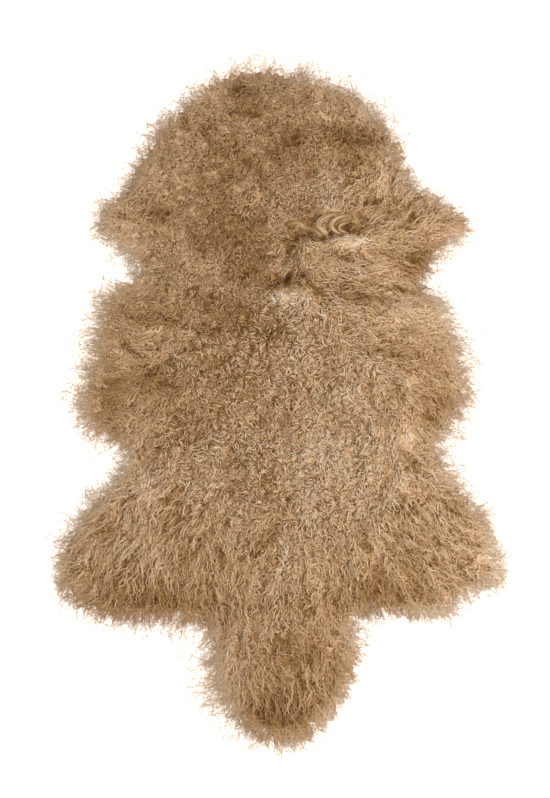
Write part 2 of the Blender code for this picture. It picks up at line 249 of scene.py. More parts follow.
# The bed's dark browns are partly the wool's own colour and partly painted shade deep between the
# strands.
BED_BROWNS = (
    (0.0, (0.095, 0.040, 0.011, 1)),
    (0.35, (0.17, 0.087, 0.031, 1)),
    (0.7, (0.35, 0.215, 0.112, 1)),
    (1.0, (0.52, 0.36, 0.22, 1)),
)
SKIN_BUFFS = (
    (0.3, (0.62, 0.50, 0.37, 1)),
    (0.55, (0.73, 0.62, 0.48, 1)),
    (0.75, (0.80, 0.70, 0.57, 1)),
)
BED_CURLS = ((170, 2.2), (95, 1.5))  # scale and distortion of the bed's two sizes of curl
BED_CURL_DETAIL, BED_CURL_EDGE, BED_TONE_SHARE = 1.0, 5.0, 1.2
BLOTCH_SCALE, BLOTCH_DETAIL = 9, 5
NAP_SCALE, NAP_DETAIL = 400, 2

Place = namedtuple("Place", "name x y reach comb")
Comb = namedtuple("Comb", "name x y heading spread curl length width open")
Tone = namedtuple("Tone", "name x y half_width half_height percent")
Crease = namedtuple("Crease", "name x1 y1 x2 y2 half_width rise")
Ringlet = namedtuple("Ringlet", "name points width percent")
Field = namedtuple("Field", "left low pitch values")
Lie = namedtuple("Lie", "cos sin spread curl length width open groove tone")
Fleece = namedtuple("Fleece", "rim low high ground depth lie")
Staples = namedtuple("Staples", "heading curl curly length width open turn swing waves phase lift tone")
Strands = namedtuple(
    "Strands", "x y heading turn swing waves phase length lift radius curl tone at_edge start finish"
)

# The rim of the dense wool, anticlockwise seen from above. reach is how far loose wisps stand
# past it, and comb is the way in which they lie.
RIM = [Place(*row) for row in (
    ("neck_top", -22, 459, 32, 92),
    ("neck_left", -77, 449, 27, 105),
    ("neck_corner_left", -124, 414, 17, 130),
    ("throat_left", -179, 349, 26, 150),
    ("shoulder_left", -207, 298, 15, 150),
    ("foreleg_tip_left", -239, 255, 38, 175),
    ("foreleg_under_left", -219, 223, 31, 210),
    ("armpit_left", -190, 188, 17, 185),
    ("ribs_top_left", -230, 145, 33, 165),
    ("ribs_left", -246, 82, 38, 180),
    ("belly_left", -264, 9, 43, 195),
    ("flank_fold_left", -236, -32, 41, 210),
    ("waist_left", -207, -55, 15, 195),
    ("haunch_top_left", -215, -85, 14, 165),
    ("haunch_left", -256, -133, 23, 165),
    ("hind_leg_left", -292, -194, 38, 185),
    ("hind_leg_tip_left", -289, -243, 24, 215),
    ("buttock_left", -227, -277, 20, 245),
    ("rump_left", -153, -276, 29, 255),
    ("tail_root_left", -96, -288, 29, 240),
    ("tail_side_left", -86, -343, 34, 225),
    ("tail_low_left", -57, -408, 39, 245),
    ("tail_tip", 9, -443, 45, 268),
    ("tail_low_right", 77, -398, 13, 300),
    ("tail_side_right", 103, -330, 18, 324),
    ("tail_root_right", 100, -282, 19, 312),
    ("rump_right", 144, -271, 18, 285),
    ("buttock_right", 211, -275, 22, 290),
    ("hind_leg_under_right", 260, -241, 18, 300),
    ("hind_leg_tip_right", 300, -228, 25, 325),
    ("hind_leg_right", 295, -189, 18, 345),
    ("haunch_right", 273, -141, 24, 355),
    ("haunch_top_right", 237, -96, 27, 355),
    ("waist_right", 217, -49, 24, 335),
    ("flank_fold_right", 231, -16, 28, 325),
    ("belly_right", 253, 20, 23, 340),
    ("ribs_right", 239, 83, 41, 355),
    ("ribs_top_right", 220, 144, 22, 365),
    ("armpit_right", 192, 173, 13, 350),
    ("foreleg_under_right", 226, 220, 28, 325),
    ("foreleg_tip_right", 253, 249, 18, 360),
    ("shoulder_right", 219, 282, 13, 390),
    ("throat_base_right", 177, 310, 19, 380),
    ("throat_right", 157, 364, 19, 385),
    ("neck_corner_right", 116, 418, 32, 410),
    ("neck_right", 56, 443, 21, 430),
)]

# How the wool lies at places on the back: the way it is combed, how far single locks stray from
# it, how tightly they curl from 0 to 1, their length and width as shares of STRAND_LENGTH and
# STRAND_RADIUS, and how open the wool is, from 0 where it is felted to 1 where its locks part.
COMBS = [Comb(*row) for row in (
    ("neck_crown", -11, 432, 90, 70, 1.0, 0.45, 0.72, 0.35),
    ("neck_left", -132, 378, 135, 50, 0.85, 0.5, 0.68, 0.3),
    ("neck_right", 111, 378, 50, 50, 0.85, 0.54, 0.88, 0.4),
    ("nape", -24, 338, 110, 90, 1.0, 0.44, 0.7, 0.45),
    ("shoulder_left", -119, 250, 165, 80, 1.0, 0.44, 0.68, 0.3),
    ("foreleg_left", -220, 264, 180, 32, 0.5, 1.15, 0.8, 0.3),
    ("foreleg_right", 232, 257, 0, 28, 0.5, 1.1, 0.85, 0.6),
    ("shoulder_right", 138, 291, 25, 28, 0.55, 1.15, 0.88, 0.8),
    ("above_whorl", 43, 291, 60, 45, 0.72, 0.56, 0.77, 0.75),
    ("below_whorl", 90, 196, -24, 26, 0.54, 1.1, 0.88, 0.85),
    ("withers_left", -58, 189, 200, 90, 1.0, 0.45, 0.72, 0.7),
    ("ribs_right", 165, 162, -10, 22, 0.4, 1.3, 0.85, 0.5),
    ("belly_right", 219, 95, -5, 26, 0.4, 1.25, 0.82, 0.4),
    ("flank_right", 219, 14, -25, 26, 0.45, 1.25, 0.82, 0.5),
    ("ribs_left", -205, 112, 176, 28, 0.4, 1.3, 0.72, 0.2),
    ("belly_left", -225, 30, -160, 26, 0.4, 1.35, 0.68, 0.1),
    ("middle_left", -105, 54, -145, 70, 0.95, 0.5, 0.95, 0.8),
    ("middle", 9, 108, -95, 42, 0.85, 0.54, 1, 1.0),
    ("middle_right", 97, 54, -45, 35, 0.68, 0.61, 0.98, 0.8),
    ("loin_left", -105, -81, -118, 30, 0.7, 0.6, 0.96, 0.85),
    ("loin", -4, -81, -92, 34, 0.78, 0.56, 0.96, 0.9),
    ("loin_right", 90, -94, -70, 30, 0.75, 0.57, 0.96, 0.75),
    ("haunch_left", -200, -175, -120, 20, 0.42, 1.5, 0.8, 0.8),
    ("hind_leg_left", -267, -223, -140, 26, 0.5, 1.25, 0.8, 0.7),
    ("rump_left", -146, -249, -106, 15, 0.33, 1.9, 0.7, 0.75),
    ("rump", -11, -229, -90, 30, 0.62, 0.72, 0.92, 0.8),
    ("rump_right", 151, -229, -68, 24, 0.5, 1.3, 0.82, 0.6),
    ("haunch_right", 192, -135, -45, 24, 0.56, 1.1, 0.88, 0.9),
    ("hind_leg_right", 273, -216, -28, 22, 0.45, 1.25, 0.85, 0.95),
    ("tail_left", -58, -337, -106, 14, 0.3, 2.2, 0.62, 0.6),
    ("tail", 9, -324, -88, 40, 0.75, 0.68, 0.8, 0.8),
    ("tail_right", 77, -337, -62, 16, 0.33, 2, 0.64, 0.6),
    ("tail_tip", -1, -400, -90, 16, 0.33, 2.2, 0.66, 1.0),
)]

# Where the wool is darker or lighter than its mean, in per cent, over an oval. It is partly the wool's
# own tone and partly painted light: painted shade in its pits and creases and on its shaded sides, and
# painted highlights on its lips and lit swells.
PAINTED_SHADE_AND_TONES = [Tone(*row) for row in (
    ("neck_pit", -45, 430, 22, 16, -36),
    ("throat_pit", 93, 366, 40, 16, -30),
    ("nape_pit", 16, 361, 16, 12, -26),
    ("shoulder_left_pit", -159, 266, 22, 14, -22),
    ("armpit_right_pit", 183, 200, 16, 19, -20),
    ("rib_right_pit", 117, 152, 36, 6, -22),
    ("belly_right_pit", 182, 76, 38, 26, -20),
    ("belly_left_pit", -234, 7, 12, 27, -20),
    ("middle_pit", -51, 119, 24, 19, -22),
    ("middle_pit_right", -11, 102, 14, 11, -22),
    ("flank_left_pit", -141, 121, 35, 11, -16),
    ("waist_left_pit", -166, 54, 27, 16, -16),
    ("loin_pit", -14, -95, 12, 19, -14),
    ("haunch_left_pit", -226, -168, 14, 32, -14),
    ("hind_leg_left_pit", -217, -222, 14, 24, -16),
    ("rump_left_pit", -131, -135, 12, 40, -12),
    ("rump_left_rim", -160, -268, 90, 18, -26),
    ("rump_right_rim", 126, -246, 44, 24, -22),
    ("haunch_right_shade", 185, -189, 46, 62, -8),
    ("tail_pit", 36, -326, 14, 14, -16),
    ("tail_pit_left", -6, -308, 12, 12, -8),
    ("tail_tip_pit", -8, -410, 50, 32, -37),
    ("neck_shade_left", -76, 277, 35, 62, -10),
    ("whorl_pit", 96, 243, 14, 6, -30),
    ("whorl_pit_left", 18, 224, 9, 15, -36),
    ("whorl_lip", 92, 225, 24, 9, 36),
    ("second_lip", 12, 152, 26, 13, 38),
    ("whorl_curls_left", 34, 220, 12, 10, 12),
    ("second_pit", 8, 175, 26, 9, -44),
    ("above_whorl_right", 122, 278, 18, 4, -24),
    ("withers_light", 60, 302, 30, 22, 20),
    ("shoulder_right_light", 70, 270, 22, 11, 18),
    ("shoulder_left_light", -139, 318, 30, 17, 7),
    ("rib_right_light", 202, 133, 24, 16, 16),
    ("flank_right_light", 171, -36, 22, 12, 18),
    ("waist_left_light", -177, -101, 12, 22, 16),
    ("middle_light", -112, 54, 16, 14, 12),
    ("middle_right_light", 84, 54, 16, 16, 12),
    ("hind_leg_right_light", 294, -190, 26, 42, 24),
    ("loin_right_light", 82, -142, 20, 36, 15),
    ("crown_shade", -30, 404, 52, 20, -16),
    ("neck_corner_right_light", 122, 408, 18, 18, 24),
    ("throat_right_shade", 92, 330, 30, 16, -20),
    ("upper_left", -90, 290, 150, 150, -6),
    ("right_flank", 190, 90, 90, 190, 7),
    ("left_flank", -200, 60, 80, 120, -2),
    ("hind_leg_left", -230, -200, 80, 80, 4),
    ("hind_leg_right", 250, -200, 70, 70, 1),
    ("neck_shade", 20, 335, 85, 45, -8),
    ("neck_top_light", -28, 445, 30, 14, 4),
    ("withers_shade", -42, 205, 36, 50, -15),
    ("foreleg_left_light", -205, 222, 30, 22, 18),
    ("foreleg_right_light", 218, 286, 26, 18, 11),
    ("above_whorl_shade", 110, 257, 50, 14, -4),
    ("armpit_right_shade", 190, 188, 28, 35, -28),
    ("belly_right_shade", 214, 6, 36, 36, -24),
    ("ribs_left_shade", -185, 122, 40, 26, -14),
    ("flank_left_shade", -110, 20, 90, 45, -9),
    ("waist_left_rim_light", -222, -72, 24, 28, 26),
    ("loin_light_right", 46, -128, 14, 34, 13),
    ("loin_right_light_top", 115, -82, 36, 14, 9),
    ("rump_left_shade", -165, -241, 85, 24, -22),
    ("hind_leg_right_under_light", 222, -268, 40, 14, 14),
    ("tail_shade", 30, -345, 60, 50, -14),
    ("rump_shade", 10, -260, 66, 18, -10),
    ("loin_light", 60, -62, 44, 50, 16),
    ("ribs_light", 40, 125, 22, 24, 8),
    ("belly_left_rim_light", -268, 50, 26, 110, 30),
    ("belly_left_shade", -212, 28, 20, 50, -13),
    ("ribs_left_back_shade", -90, 143, 72, 18, -11),
    ("belly_right_back_shade", 159, 106, 18, 16, -12),
    ("middle_right_back_light", 100, 28, 36, 16, 17),
    ("shoulder_right_top_light", 156, 297, 20, 12, 22),
    ("rump_light", 8, -174, 18, 28, 15),
    ("haunch_right_light", 162, -100, 24, 30, 14),
    ("tail_light", 22, -346, 28, 20, 16),
    ("tail_right_shade", 90, -345, 16, 26, -16),
    ("rump_left_back_shade", -120, -196, 34, 18, -11),
    ("below_whorl_light", 105, 190, 30, 12, 9),
    ("nape_left_shade", -68, 350, 24, 30, -7),
    ("loin_left_light", -90, -100, 60, 26, 10),
    ("hind_leg_left_under_pit", -254, -272, 22, 16, -26),
    ("rump_left_under_pit", -108, -272, 16, 13, -14),
    ("rump_left_top_shade", -126, -236, 28, 13, -9),
    ("haunch_right_pit", 159, -159, 14, 14, -11),
    ("waist_right_pit", 198, -46, 15, 15, -12),
    ("belly_left_rim_pit", -257, -8, 13, 17, -14),
    ("neck_top_right_light", 48, 444, 18, 13, 12),
    ("neck_right_pit", 84, 408, 15, 14, -9),
    ("tail_root_light", -66, -310, 16, 14, 11),
    ("loin_right_top_pit", 58, -84, 22, 12, -9),
    ("loin_left_pit", -106, -84, 13, 13, -10),
    ("middle_right_top_light", 122, 68, 15, 14, 10),
    ("hind_leg_right_streak", 274, -197, 13, 17, 10),
    ("hind_leg_right_pit", 236, -197, 11, 13, -8),
    ("rump_right_under_pit", 122, -271, 15, 12, -10),
    ("foreleg_right_shade", 236, 257, 18, 14, -20),
)]

# Creases and lips of the fleece that are too fine for the solid.
CREASES = [Crease(*row) for row in (
    ("whorl_left", 27, 232, 42, 239, 4, -7),
    ("whorl_middle", 42, 239, 60, 231, 3.5, -7),
    ("whorl_dip", 60, 231, 70, 236, 3.5, -7),
    ("whorl_right", 70, 236, 84, 234, 4, -7),
    ("whorl_far_right", 84, 245, 104, 242, 6, -6),
    ("whorl_trail", 112, 251, 138, 257, 4, -4),
    ("whorl_pit", 24, 236, 12, 214, 4.5, -8),
    ("whorl_channel", 11, 205, 9, 194, 4, -3),
    ("whorl_roll", 20, 247, 62, 247, 8, 2),
    ("whorl_lip", 66, 224, 116, 226, 9, 4),
    ("second_crease", -10, 167, 26, 180, 7, -9),
    ("second_crease_top", 28, 190, 36, 182, 5, -4),
    ("second_lip", -10, 156, 36, 156, 9, 3),
    ("rib_crease", 80, 167, 106, 153, 5, -4),
    ("rib_crease_right", 106, 153, 150, 145, 5, -4),
    ("above_whorl", 46, 274, 46, 254, 3, -5),
    ("above_whorl_right", 106, 276, 138, 280, 4, -5),
    ("neck_crease", -62, 434, -30, 430, 8, -6),
    ("throat_crease", 62, 378, 120, 360, 9, -8),
    ("foreleg_left_crease", -168, 266, -152, 266, 6, -6),
    ("waist_left_crease", -188, 36, -146, 70, 6, -5),
    ("flank_left_crease", -172, 133, -110, 107, 6, -5),
    ("tail_crease", -20, -404, 22, -410, 12, -4),
)]

# Ringlets over the whorl: locks combed smooth and turned over on themselves. Each one lies along
# its points, with strands side by side over its width, and is darker by its percent: painted shade in the
# folds of the whorl.
RINGLETS = [Ringlet(*row) for row in (
    ("left_roll", ((10, 248), (24, 250), (38, 244), (52, 237), (64, 229)), 9, -20),
    ("middle_loop", ((80, 263), (68, 260), (57, 254), (54, 247), (60, 240), (70, 235)), 7, -6),
    ("right_loop", ((98, 261), (86, 259), (75, 254), (71, 247), (76, 240), (86, 235)), 6, -4),
    ("inner_loop", ((98, 252), (89, 250), (82, 246), (84, 241), (92, 238)), 4, -14),
)]


def at_share(pair, share):
    """The pair's first value, and as much of its second as the share says."""
    return pair[0] + pair[1] * share


def smooth_step(value, low, high):
    """0 below low, 1 above high, and 3 s^2 - 2 s^3 at the share s of the way between them."""
    share = np.clip((value - low) / (high - low), 0, 1)
    return share * share * (3 - 2 * share)


def catmull_rom(p0, p1, p2, p3, t):
    """The point at the share t of the way from p1 to p2, on the smooth curve through all four: half
    of 2 p1 + (p2 - p0) t + (2 p0 - 5 p1 + 4 p2 - p3) t^2 + (3 p1 - p0 - 3 p2 + p3) t^3."""
    return 0.5 * (
        2 * p1
        + (p2 - p0) * t
        + (2 * p0 - 5 * p1 + 4 * p2 - p3) * t**2
        + (3 * p1 - p0 - 3 * p2 + p3) * t**3
    )


def closed_curve(points, steps):
    """A smooth closed curve through the points, with this many steps from each to the next."""
    t = (np.arange(steps) / steps)[None, :, None]
    corners = (np.roll(points, shift, axis=0)[:, None, :] for shift in (1, 0, -1, -2))
    return catmull_rom(*corners, t).reshape(-1, points.shape[1])


def open_curve(points, steps):
    """A smooth curve through the points, of this many points at even shares of its spans."""
    first, last = 2 * points[0] - points[1], 2 * points[-1] - points[-2]
    padded = np.vstack([first, points, last])
    place = np.linspace(0, len(points) - 1.0001, steps)
    span = place.astype(int)
    return catmull_rom(*(padded[span + k] for k in range(4)), (place - span)[:, None])


def rim_curve():
    """The rim as a smooth closed curve, with columns x, y, reach and the comb's cosine and sine."""
    rows = []
    for place in RIM:
        comb = math.radians(place.comb)
        rows.append((place.x * MM, place.y * MM, place.reach * MM, math.cos(comb), math.sin(comb)))
    return closed_curve(np.array(rows), RIM_STEPS)


def along(curve, distances):
    """The points of a closed curve at these distances along its first two columns."""
    closed = np.vstack([curve, curve[:1]])
    steps = np.linalg.norm(np.diff(closed[:, :2], axis=0), axis=1)
    run = np.concatenate([[0], np.cumsum(steps)])
    wrapped = np.mod(distances, run[-1])
    return np.stack([np.interp(wrapped, run, column) for column in closed.T], axis=1)


def curve_length(curve):
    """The length of a closed curve seen from above, as the sum of its steps."""
    closed = np.vstack([curve[:, :2], curve[:1, :2]])
    return np.linalg.norm(np.diff(closed, axis=0), axis=1).sum()


def right_of(tangents):
    """The unit direction to the right of each tangent: its y and its x turned round, over its length."""
    sideways = np.column_stack([tangents[:, 1], -tangents[:, 0]])
    return sideways / np.linalg.norm(sideways, axis=1)[:, None]


def outward(curve):
    """The unit direction out of the rug at each point of its anticlockwise rim."""
    return right_of(np.roll(curve[:, :2], -1, axis=0) - np.roll(curve[:, :2], 1, axis=0))


def rim_places(rim, run):
    """The rim's columns at these distances along it, and the unit direction out of the rug there."""
    places = along(rim, run)
    return places, right_of(along(rim, run + 1 * MM)[:, :2] - places[:, :2])


def inset(curve, distance, pitch):
    """The curve moved inwards by the distance, as points about a pitch apart."""
    count = round(curve_length(curve) / pitch)
    even = along(curve, np.arange(count) * curve_length(curve) / count)[:, :2]
    return even - distance * outward(even)


def signed_distance(x, y, rim):
    """How far inside the rim each point lies, and less than 0 outside: the distance to the rim's
    nearest side, with the sign of an odd or even count of the sides that a ray to the right crosses."""
    start = rim[None, :, :2]
    finish = np.roll(rim, -1, axis=0)[None, :, :2]
    side = finish - start
    point = np.stack([x, y], axis=1)[:, None, :]
    offset = point - start
    share = np.clip((offset * side).sum(axis=2) / (side**2).sum(axis=2), 0, 1)
    away = np.sqrt(((offset - share[..., None] * side) ** 2).sum(axis=2)).min(axis=1)
    straddles = (start[..., 1] > point[..., 1]) != (finish[..., 1] > point[..., 1])
    level = np.where(side[..., 1] == 0, 1, side[..., 1])
    crossing = start[..., 0] + offset[..., 1] * side[..., 0] / level
    odd = (straddles & (point[..., 0] < crossing)).sum(axis=1) % 2 == 1
    return np.where(odd, away, -away)


def signed_distance_in_parts(x, y, rim):
    """signed_distance, worked out for some of the points at a time."""
    parts = max(1, len(x) // PART_SIZE)
    pairs = zip(np.array_split(x, parts), np.array_split(y, parts))
    return np.concatenate([signed_distance(a, b, rim) for a, b in pairs])


def read_field(field, x, y):
    """The field's value at each point, worked out evenly between its four neighbours."""
    values = field.values
    rows, columns = values.shape
    column = np.clip((x - field.left) / field.pitch, 0, columns - 1.001)
    row = np.clip((y - field.low) / field.pitch, 0, rows - 1.001)
    i, j = column.astype(int), row.astype(int)
    a, b = column - i, row - j
    near = values[j, i] * (1 - a) + values[j, i + 1] * a
    far = values[j + 1, i] * (1 - a) + values[j + 1, i + 1] * a
    return near * (1 - b) + far * b


def soften(values, passes):
    """Each value becomes a quarter of each neighbour plus half itself, across and then along."""
    for _ in range(passes):
        for axis in (0, 1):
            pad = [(1, 1) if a == axis else (0, 0) for a in (0, 1)]
            wide = np.pad(values, pad, mode="edge")
            before = np.take(wide, range(0, values.shape[axis]), axis)
            after = np.take(wide, range(2, values.shape[axis] + 2), axis)
            values = 0.25 * before + 0.5 * values + 0.25 * after
    return values


def noise_field(draw, pitch, low, high):
    """A smooth random field of mean 0 and spread 1, whose swells are about two pitches wide."""
    columns = int((high[0] - low[0]) / pitch) + 3
    rows = int((high[1] - low[1]) / pitch) + 3
    values = soften(draw.normal(size=(rows, columns)), 1)
    return Field(low[0] - pitch, low[1] - pitch, pitch, values / values.std())


def new_object(name, data):
    """An object in the scene, at the origin."""
    made = bpy.data.objects.new(name, data)
    bpy.context.scene.collection.objects.link(made)
    return made


def new_piece(name, points, triangles, uv, material):
    """A smooth mesh of triangles from arrays, with a UV for each of their corners."""
    mesh = bpy.data.meshes.new(name)
    mesh.vertices.add(len(points))
    mesh.vertices.foreach_set("co", np.ascontiguousarray(points, np.float32).ravel())
    mesh.loops.add(triangles.size)
    mesh.loops.foreach_set("vertex_index", np.ascontiguousarray(triangles, np.int32).ravel())
    mesh.polygons.add(len(triangles))
    mesh.polygons.foreach_set("loop_start", np.arange(0, triangles.size, 3, dtype=np.int32))
    layer = mesh.uv_layers.new(name="OFBake")
    layer.data.foreach_set("uv", np.ascontiguousarray(uv, np.float32).ravel())
    mesh.materials.append(material)
    mesh.update(calc_edges=True)
    mesh.validate()
    mesh.shade_smooth()
    return new_object(name, mesh)


def vertex_places(mesh):
    """The vertices of a mesh as rows of x, y and z."""
    flat = np.zeros(len(mesh.vertices) * 3, np.float32)
    mesh.vertices.foreach_get("co", flat)
    return flat.reshape(-1, 3)


def take_place(piece):
    """The piece moves with the rug's one body and stands for the solid."""
    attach(piece, "root")
    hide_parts("sheepskin")


def solid_heights(node, xs, ys):
    """The height of the solid's top over each crossing of the lines, and 0 beside it: a flat
    sheet of points above the solid, let down on to it."""
    x, y = np.meshgrid(xs, ys)
    points = np.column_stack([x.ravel(), y.ravel(), np.full(x.size, PROBE_HEIGHT)])
    mesh = bpy.data.meshes.new("probe")
    mesh.from_pydata(points.tolist(), [], [])
    probe = new_object("probe", mesh)
    drop = probe.modifiers.new("drop", "SHRINKWRAP")
    drop.target = node
    drop.wrap_method = "PROJECT"
    drop.use_project_z = True
    drop.use_negative_direction = True
    drop.use_positive_direction = False
    shaped = probe.evaluated_get(bpy.context.evaluated_depsgraph_get()).data
    heights = vertex_places(shaped)[:, 2].reshape(x.shape).astype(float)
    bpy.data.objects.remove(probe, do_unlink=True)
    missed = heights > PROBE_HEIGHT / 2
    return np.where(missed, 0, heights)


def crease_rise(x, y):
    """How far the creases and lips lift the bed: each one's rise at its line, fading with the square
    of the distance from it (a bell curve)."""
    rise = np.zeros(x.shape)
    for crease in CREASES:
        x1, y1, x2, y2 = (value * MM for value in crease[1:5])
        run_x, run_y = x2 - x1, y2 - y1
        share = np.clip(((x - x1) * run_x + (y - y1) * run_y) / (run_x**2 + run_y**2), 0, 1)
        away = np.hypot(x - x1 - share * run_x, y - y1 - share * run_y)
        rise += crease.rise * MM * np.exp(-((away / (crease.half_width * MM)) ** 2))
    return rise


def ground_at(ground, x, y):
    """The height of the bed with its creases, which are finer than the grid."""
    height = read_field(ground, x, y)
    return np.maximum(height + crease_rise(x, y), np.minimum(height, GROUND_LOWEST))


def painted_shade_and_tone_at(x, y):
    """The wool's tone over or under its mean, with its painted shade and highlights, a sum of soft ovals.
    """
    tone = np.zeros(x.shape)
    for spot in PAINTED_SHADE_AND_TONES:
        far = ((x - spot.x * MM) / (spot.half_width * MM)) ** 2
        far = far + ((y - spot.y * MM) / (spot.half_height * MM)) ** 2
        tone += spot.percent / 100 * np.exp(-far)
    return tone


def comb_at(x, y):
    """The combed way, spread, curl, length, width and openness at each point: the table's rows,
    weighed by one over the cube of their distance, which is blurred so that none rules alone."""
    rows = np.array([row[1:] for row in COMBS], float)
    far = (x[:, None] - rows[:, 0] * MM) ** 2 + (y[:, None] - rows[:, 1] * MM) ** 2
    weight = 1 / (far + COMB_BLUR**2) ** 1.5
    weight /= weight.sum(axis=1)[:, None]
    heading = np.radians(rows[:, 2])
    way = np.arctan2(weight @ np.sin(heading), weight @ np.cos(heading))
    spread, curl, length, width, openness = (weight @ rows[:, 3:]).T
    return way, np.radians(spread), curl, length, width, openness


def triangular_grid(low, high, pitch):
    """The points of a triangular grid over a box."""
    row_pitch = pitch * math.sqrt(3) / 2
    x, y = np.meshgrid(np.arange(low[0], high[0], pitch), np.arange(low[1], high[1], row_pitch))
    x[1::2] += pitch / 2
    return x.ravel(), y.ravel()


def cut_sheet(rim, pitch, finer=None):
    """The triangles over the inside of a rim: the rim's points first, then a triangular grid, and
    one of half its pitch where finer(x, y) says so."""
    box = rim.min(axis=0), rim.max(axis=0)
    x, y = triangular_grid(*box, pitch)
    if finer:
        more_x, more_y = triangular_grid(*box, pitch / 2)
        coarse = ~finer(x, y)
        fine = finer(more_x, more_y)
        x, y = np.append(x[coarse], more_x[fine]), np.append(y[coarse], more_y[fine])
    room = signed_distance_in_parts(x, y, rim) > SHEET_ROOM * pitch
    points = np.vstack([rim, np.stack([x[room], y[room]], axis=1)])
    sides = [(k, (k + 1) % len(rim)) for k in range(len(rim))]
    inside_only, nearness = 1, 1e-7
    found = geometry.delaunay_2d_cdt([Vector(p) for p in points], sides, [], inside_only, nearness)
    return points, np.array(found[2])


def slab(name, rim, pitch, top_height, bottom_height, undercut, material, finer=None):
    """A closed slab over the inside of a rim. Its top follows top_height(x, y), its underside is
    flat, and its wall leans in by the undercut towards the underside. The map is the plan of the
    slab, with a small plan of the underside beside it."""
    points, top = cut_sheet(rim, pitch, finer)
    low_points, bottom = cut_sheet(rim - undercut * outward(rim), UNDERSIDE_PITCHES * pitch)
    upper = np.column_stack([points, top_height(points[:, 0], points[:, 1])])
    lower = np.column_stack([low_points, np.full(len(low_points), bottom_height)])
    base = len(upper)
    a = np.arange(len(rim))
    b = (a + 1) % len(rim)
    wall = np.vstack([np.column_stack([a + base, b + base, b]), np.column_stack([a + base, b, a])])
    bottom = bottom[:, ::-1] + base
    vertices = np.vstack([upper, lower])
    low, high = vertices[:, :2].min(axis=0), vertices[:, :2].max(axis=0)
    plan = (vertices[:, :2] - low) / (high - low).max()
    underside = plan[bottom] * UNDERSIDE_PLAN_SIZE + UNDERSIDE_PLAN_PLACE
    uv = np.vstack([plan[top], underside, plan[wall]])
    return new_piece(name, vertices, np.vstack([top, bottom, wall]), uv, material)


def strand_paths(roots, headings, turns, swings, waves, phases, lengths, rings):
    """Where each strand runs, seen from above. At the share s of its length it heads
    heading + turn * s + swing * sin(2 pi waves s + phase), and its points are the sum of even
    steps in that direction."""
    share = (np.arange(rings) + 0.5) / rings
    angle = headings[:, None] + turns[:, None] * share
    angle = angle + swings[:, None] * np.sin(TAU * waves[:, None] * share + phases[:, None])
    step = (lengths / rings)[:, None]
    x = roots[:, :1] + np.cumsum(step * np.cos(angle), axis=1)
    y = roots[:, 1:] + np.cumsum(step * np.sin(angle), axis=1)
    return np.hstack([roots[:, :1], x]), np.hstack([roots[:, 1:], y])


def strand_template(rings):
    """The triangles of one strand of three sides, and the ring and the side of their corners. Its
    root is closed by one triangle, and its tip by three round its last point."""
    ring = np.arange(rings - 1)[:, None] * 3
    side = np.arange(3)[None, :]
    a, b = ring + side, ring + (side + 1) % 3
    faces = [np.stack([a, b, b + 3], 2), np.stack([a, b + 3, a + 3], 2)]
    rows = ring // 3 + 0 * side
    columns = side + 0 * ring
    corner_rows = [np.stack([rows, rows, rows + 1], 2), np.stack([rows, rows + 1, rows + 1], 2)]
    corner_columns = [
        np.stack([columns, columns + 1, columns + 1], 2),
        np.stack([columns, columns + 1, columns], 2),
    ]
    last = 3 * (rings - 1)
    tip = np.array([[last + k, last + (k + 1) % 3, last + 3] for k in range(3)])
    tip_rows = np.array([[rings - 1, rings - 1, rings]] * 3)
    tip_columns = np.array([[k, k + 1, k + 0.5] for k in range(3)])
    triangles = np.vstack([f.reshape(-1, 3) for f in faces] + [tip, [[0, 2, 1]]])
    rows = np.vstack([r.reshape(-1, 3) for r in corner_rows] + [tip_rows, [[0, 0, 0.3]]])
    columns = np.vstack([c.reshape(-1, 3) for c in corner_columns] + [tip_columns, [[0, 2, 1]]])
    return triangles, rows, columns


def strand_tubes(x, y, z, radii):
    """The points of three-sided tubes round the paths, each with its last point as the tip: a path's
    point, plus the radius times the cosine and sine of 90, 210 and 330 degrees, sideways and up."""
    path = np.stack([x, y, z], axis=2)
    ahead = np.gradient(path, axis=1)
    ahead /= np.linalg.norm(ahead, axis=2)[..., None]
    side = np.stack([-ahead[..., 1], ahead[..., 0], np.zeros(x.shape)], axis=2)
    side /= np.maximum(np.linalg.norm(side, axis=2), 1e-6)[..., None]
    up = np.cross(ahead, side)
    angles = np.radians([90, 210, 330])[:, None]
    ring = np.cos(angles) * side[:, :-1, None, :] + np.sin(angles) * up[:, :-1, None, :]
    tubes = path[:, :-1, None, :] + radii[:, :-1, None, None] * ring
    return np.concatenate([tubes.reshape(len(x), -1, 3), path[:, -1:, :]], axis=1)


def strand_piece(name, x, y, z, radii, tones, material, start=0.0, finish=1.0):
    """Many strands joined into one piece. Its map runs along a strand from start at the root to
    finish at the tip, and across it by the strand's own tone, which darkens down its sides as painted
    shade. A start over 0 leaves out the dark root of the map, which is painted shade."""
    rings = x.shape[1] - 1
    triangles, rows, columns = strand_template(rings)
    tubes = strand_tubes(x, y, z, radii)
    offsets = (np.arange(len(x)) * tubes.shape[1])[:, None, None]
    faces = (triangles[None] + offsets).reshape(-1, 3)
    first, last = (np.broadcast_to(share, len(x))[:, None, None] for share in (start, finish))
    u = first + (last - first) * rows[None] / rings
    shade = SIDE_SHADE * np.interp(columns, range(4), SIDE_SHADES)
    v = np.clip(tones, *TONE_LIMITS)[:, None, None] - shade[None]
    uv = np.stack([u, v], axis=3).reshape(-1, 3, 2)
    take_place(new_piece(name, tubes.reshape(-1, 3), faces, uv, material))


# Materials.


def feed(tree, value, socket):
    """Links another node's output to the socket, or sets a plain value on it."""
    if isinstance(value, bpy.types.NodeSocket):
        tree.links.new(value, socket)
    else:
        socket.default_value = value


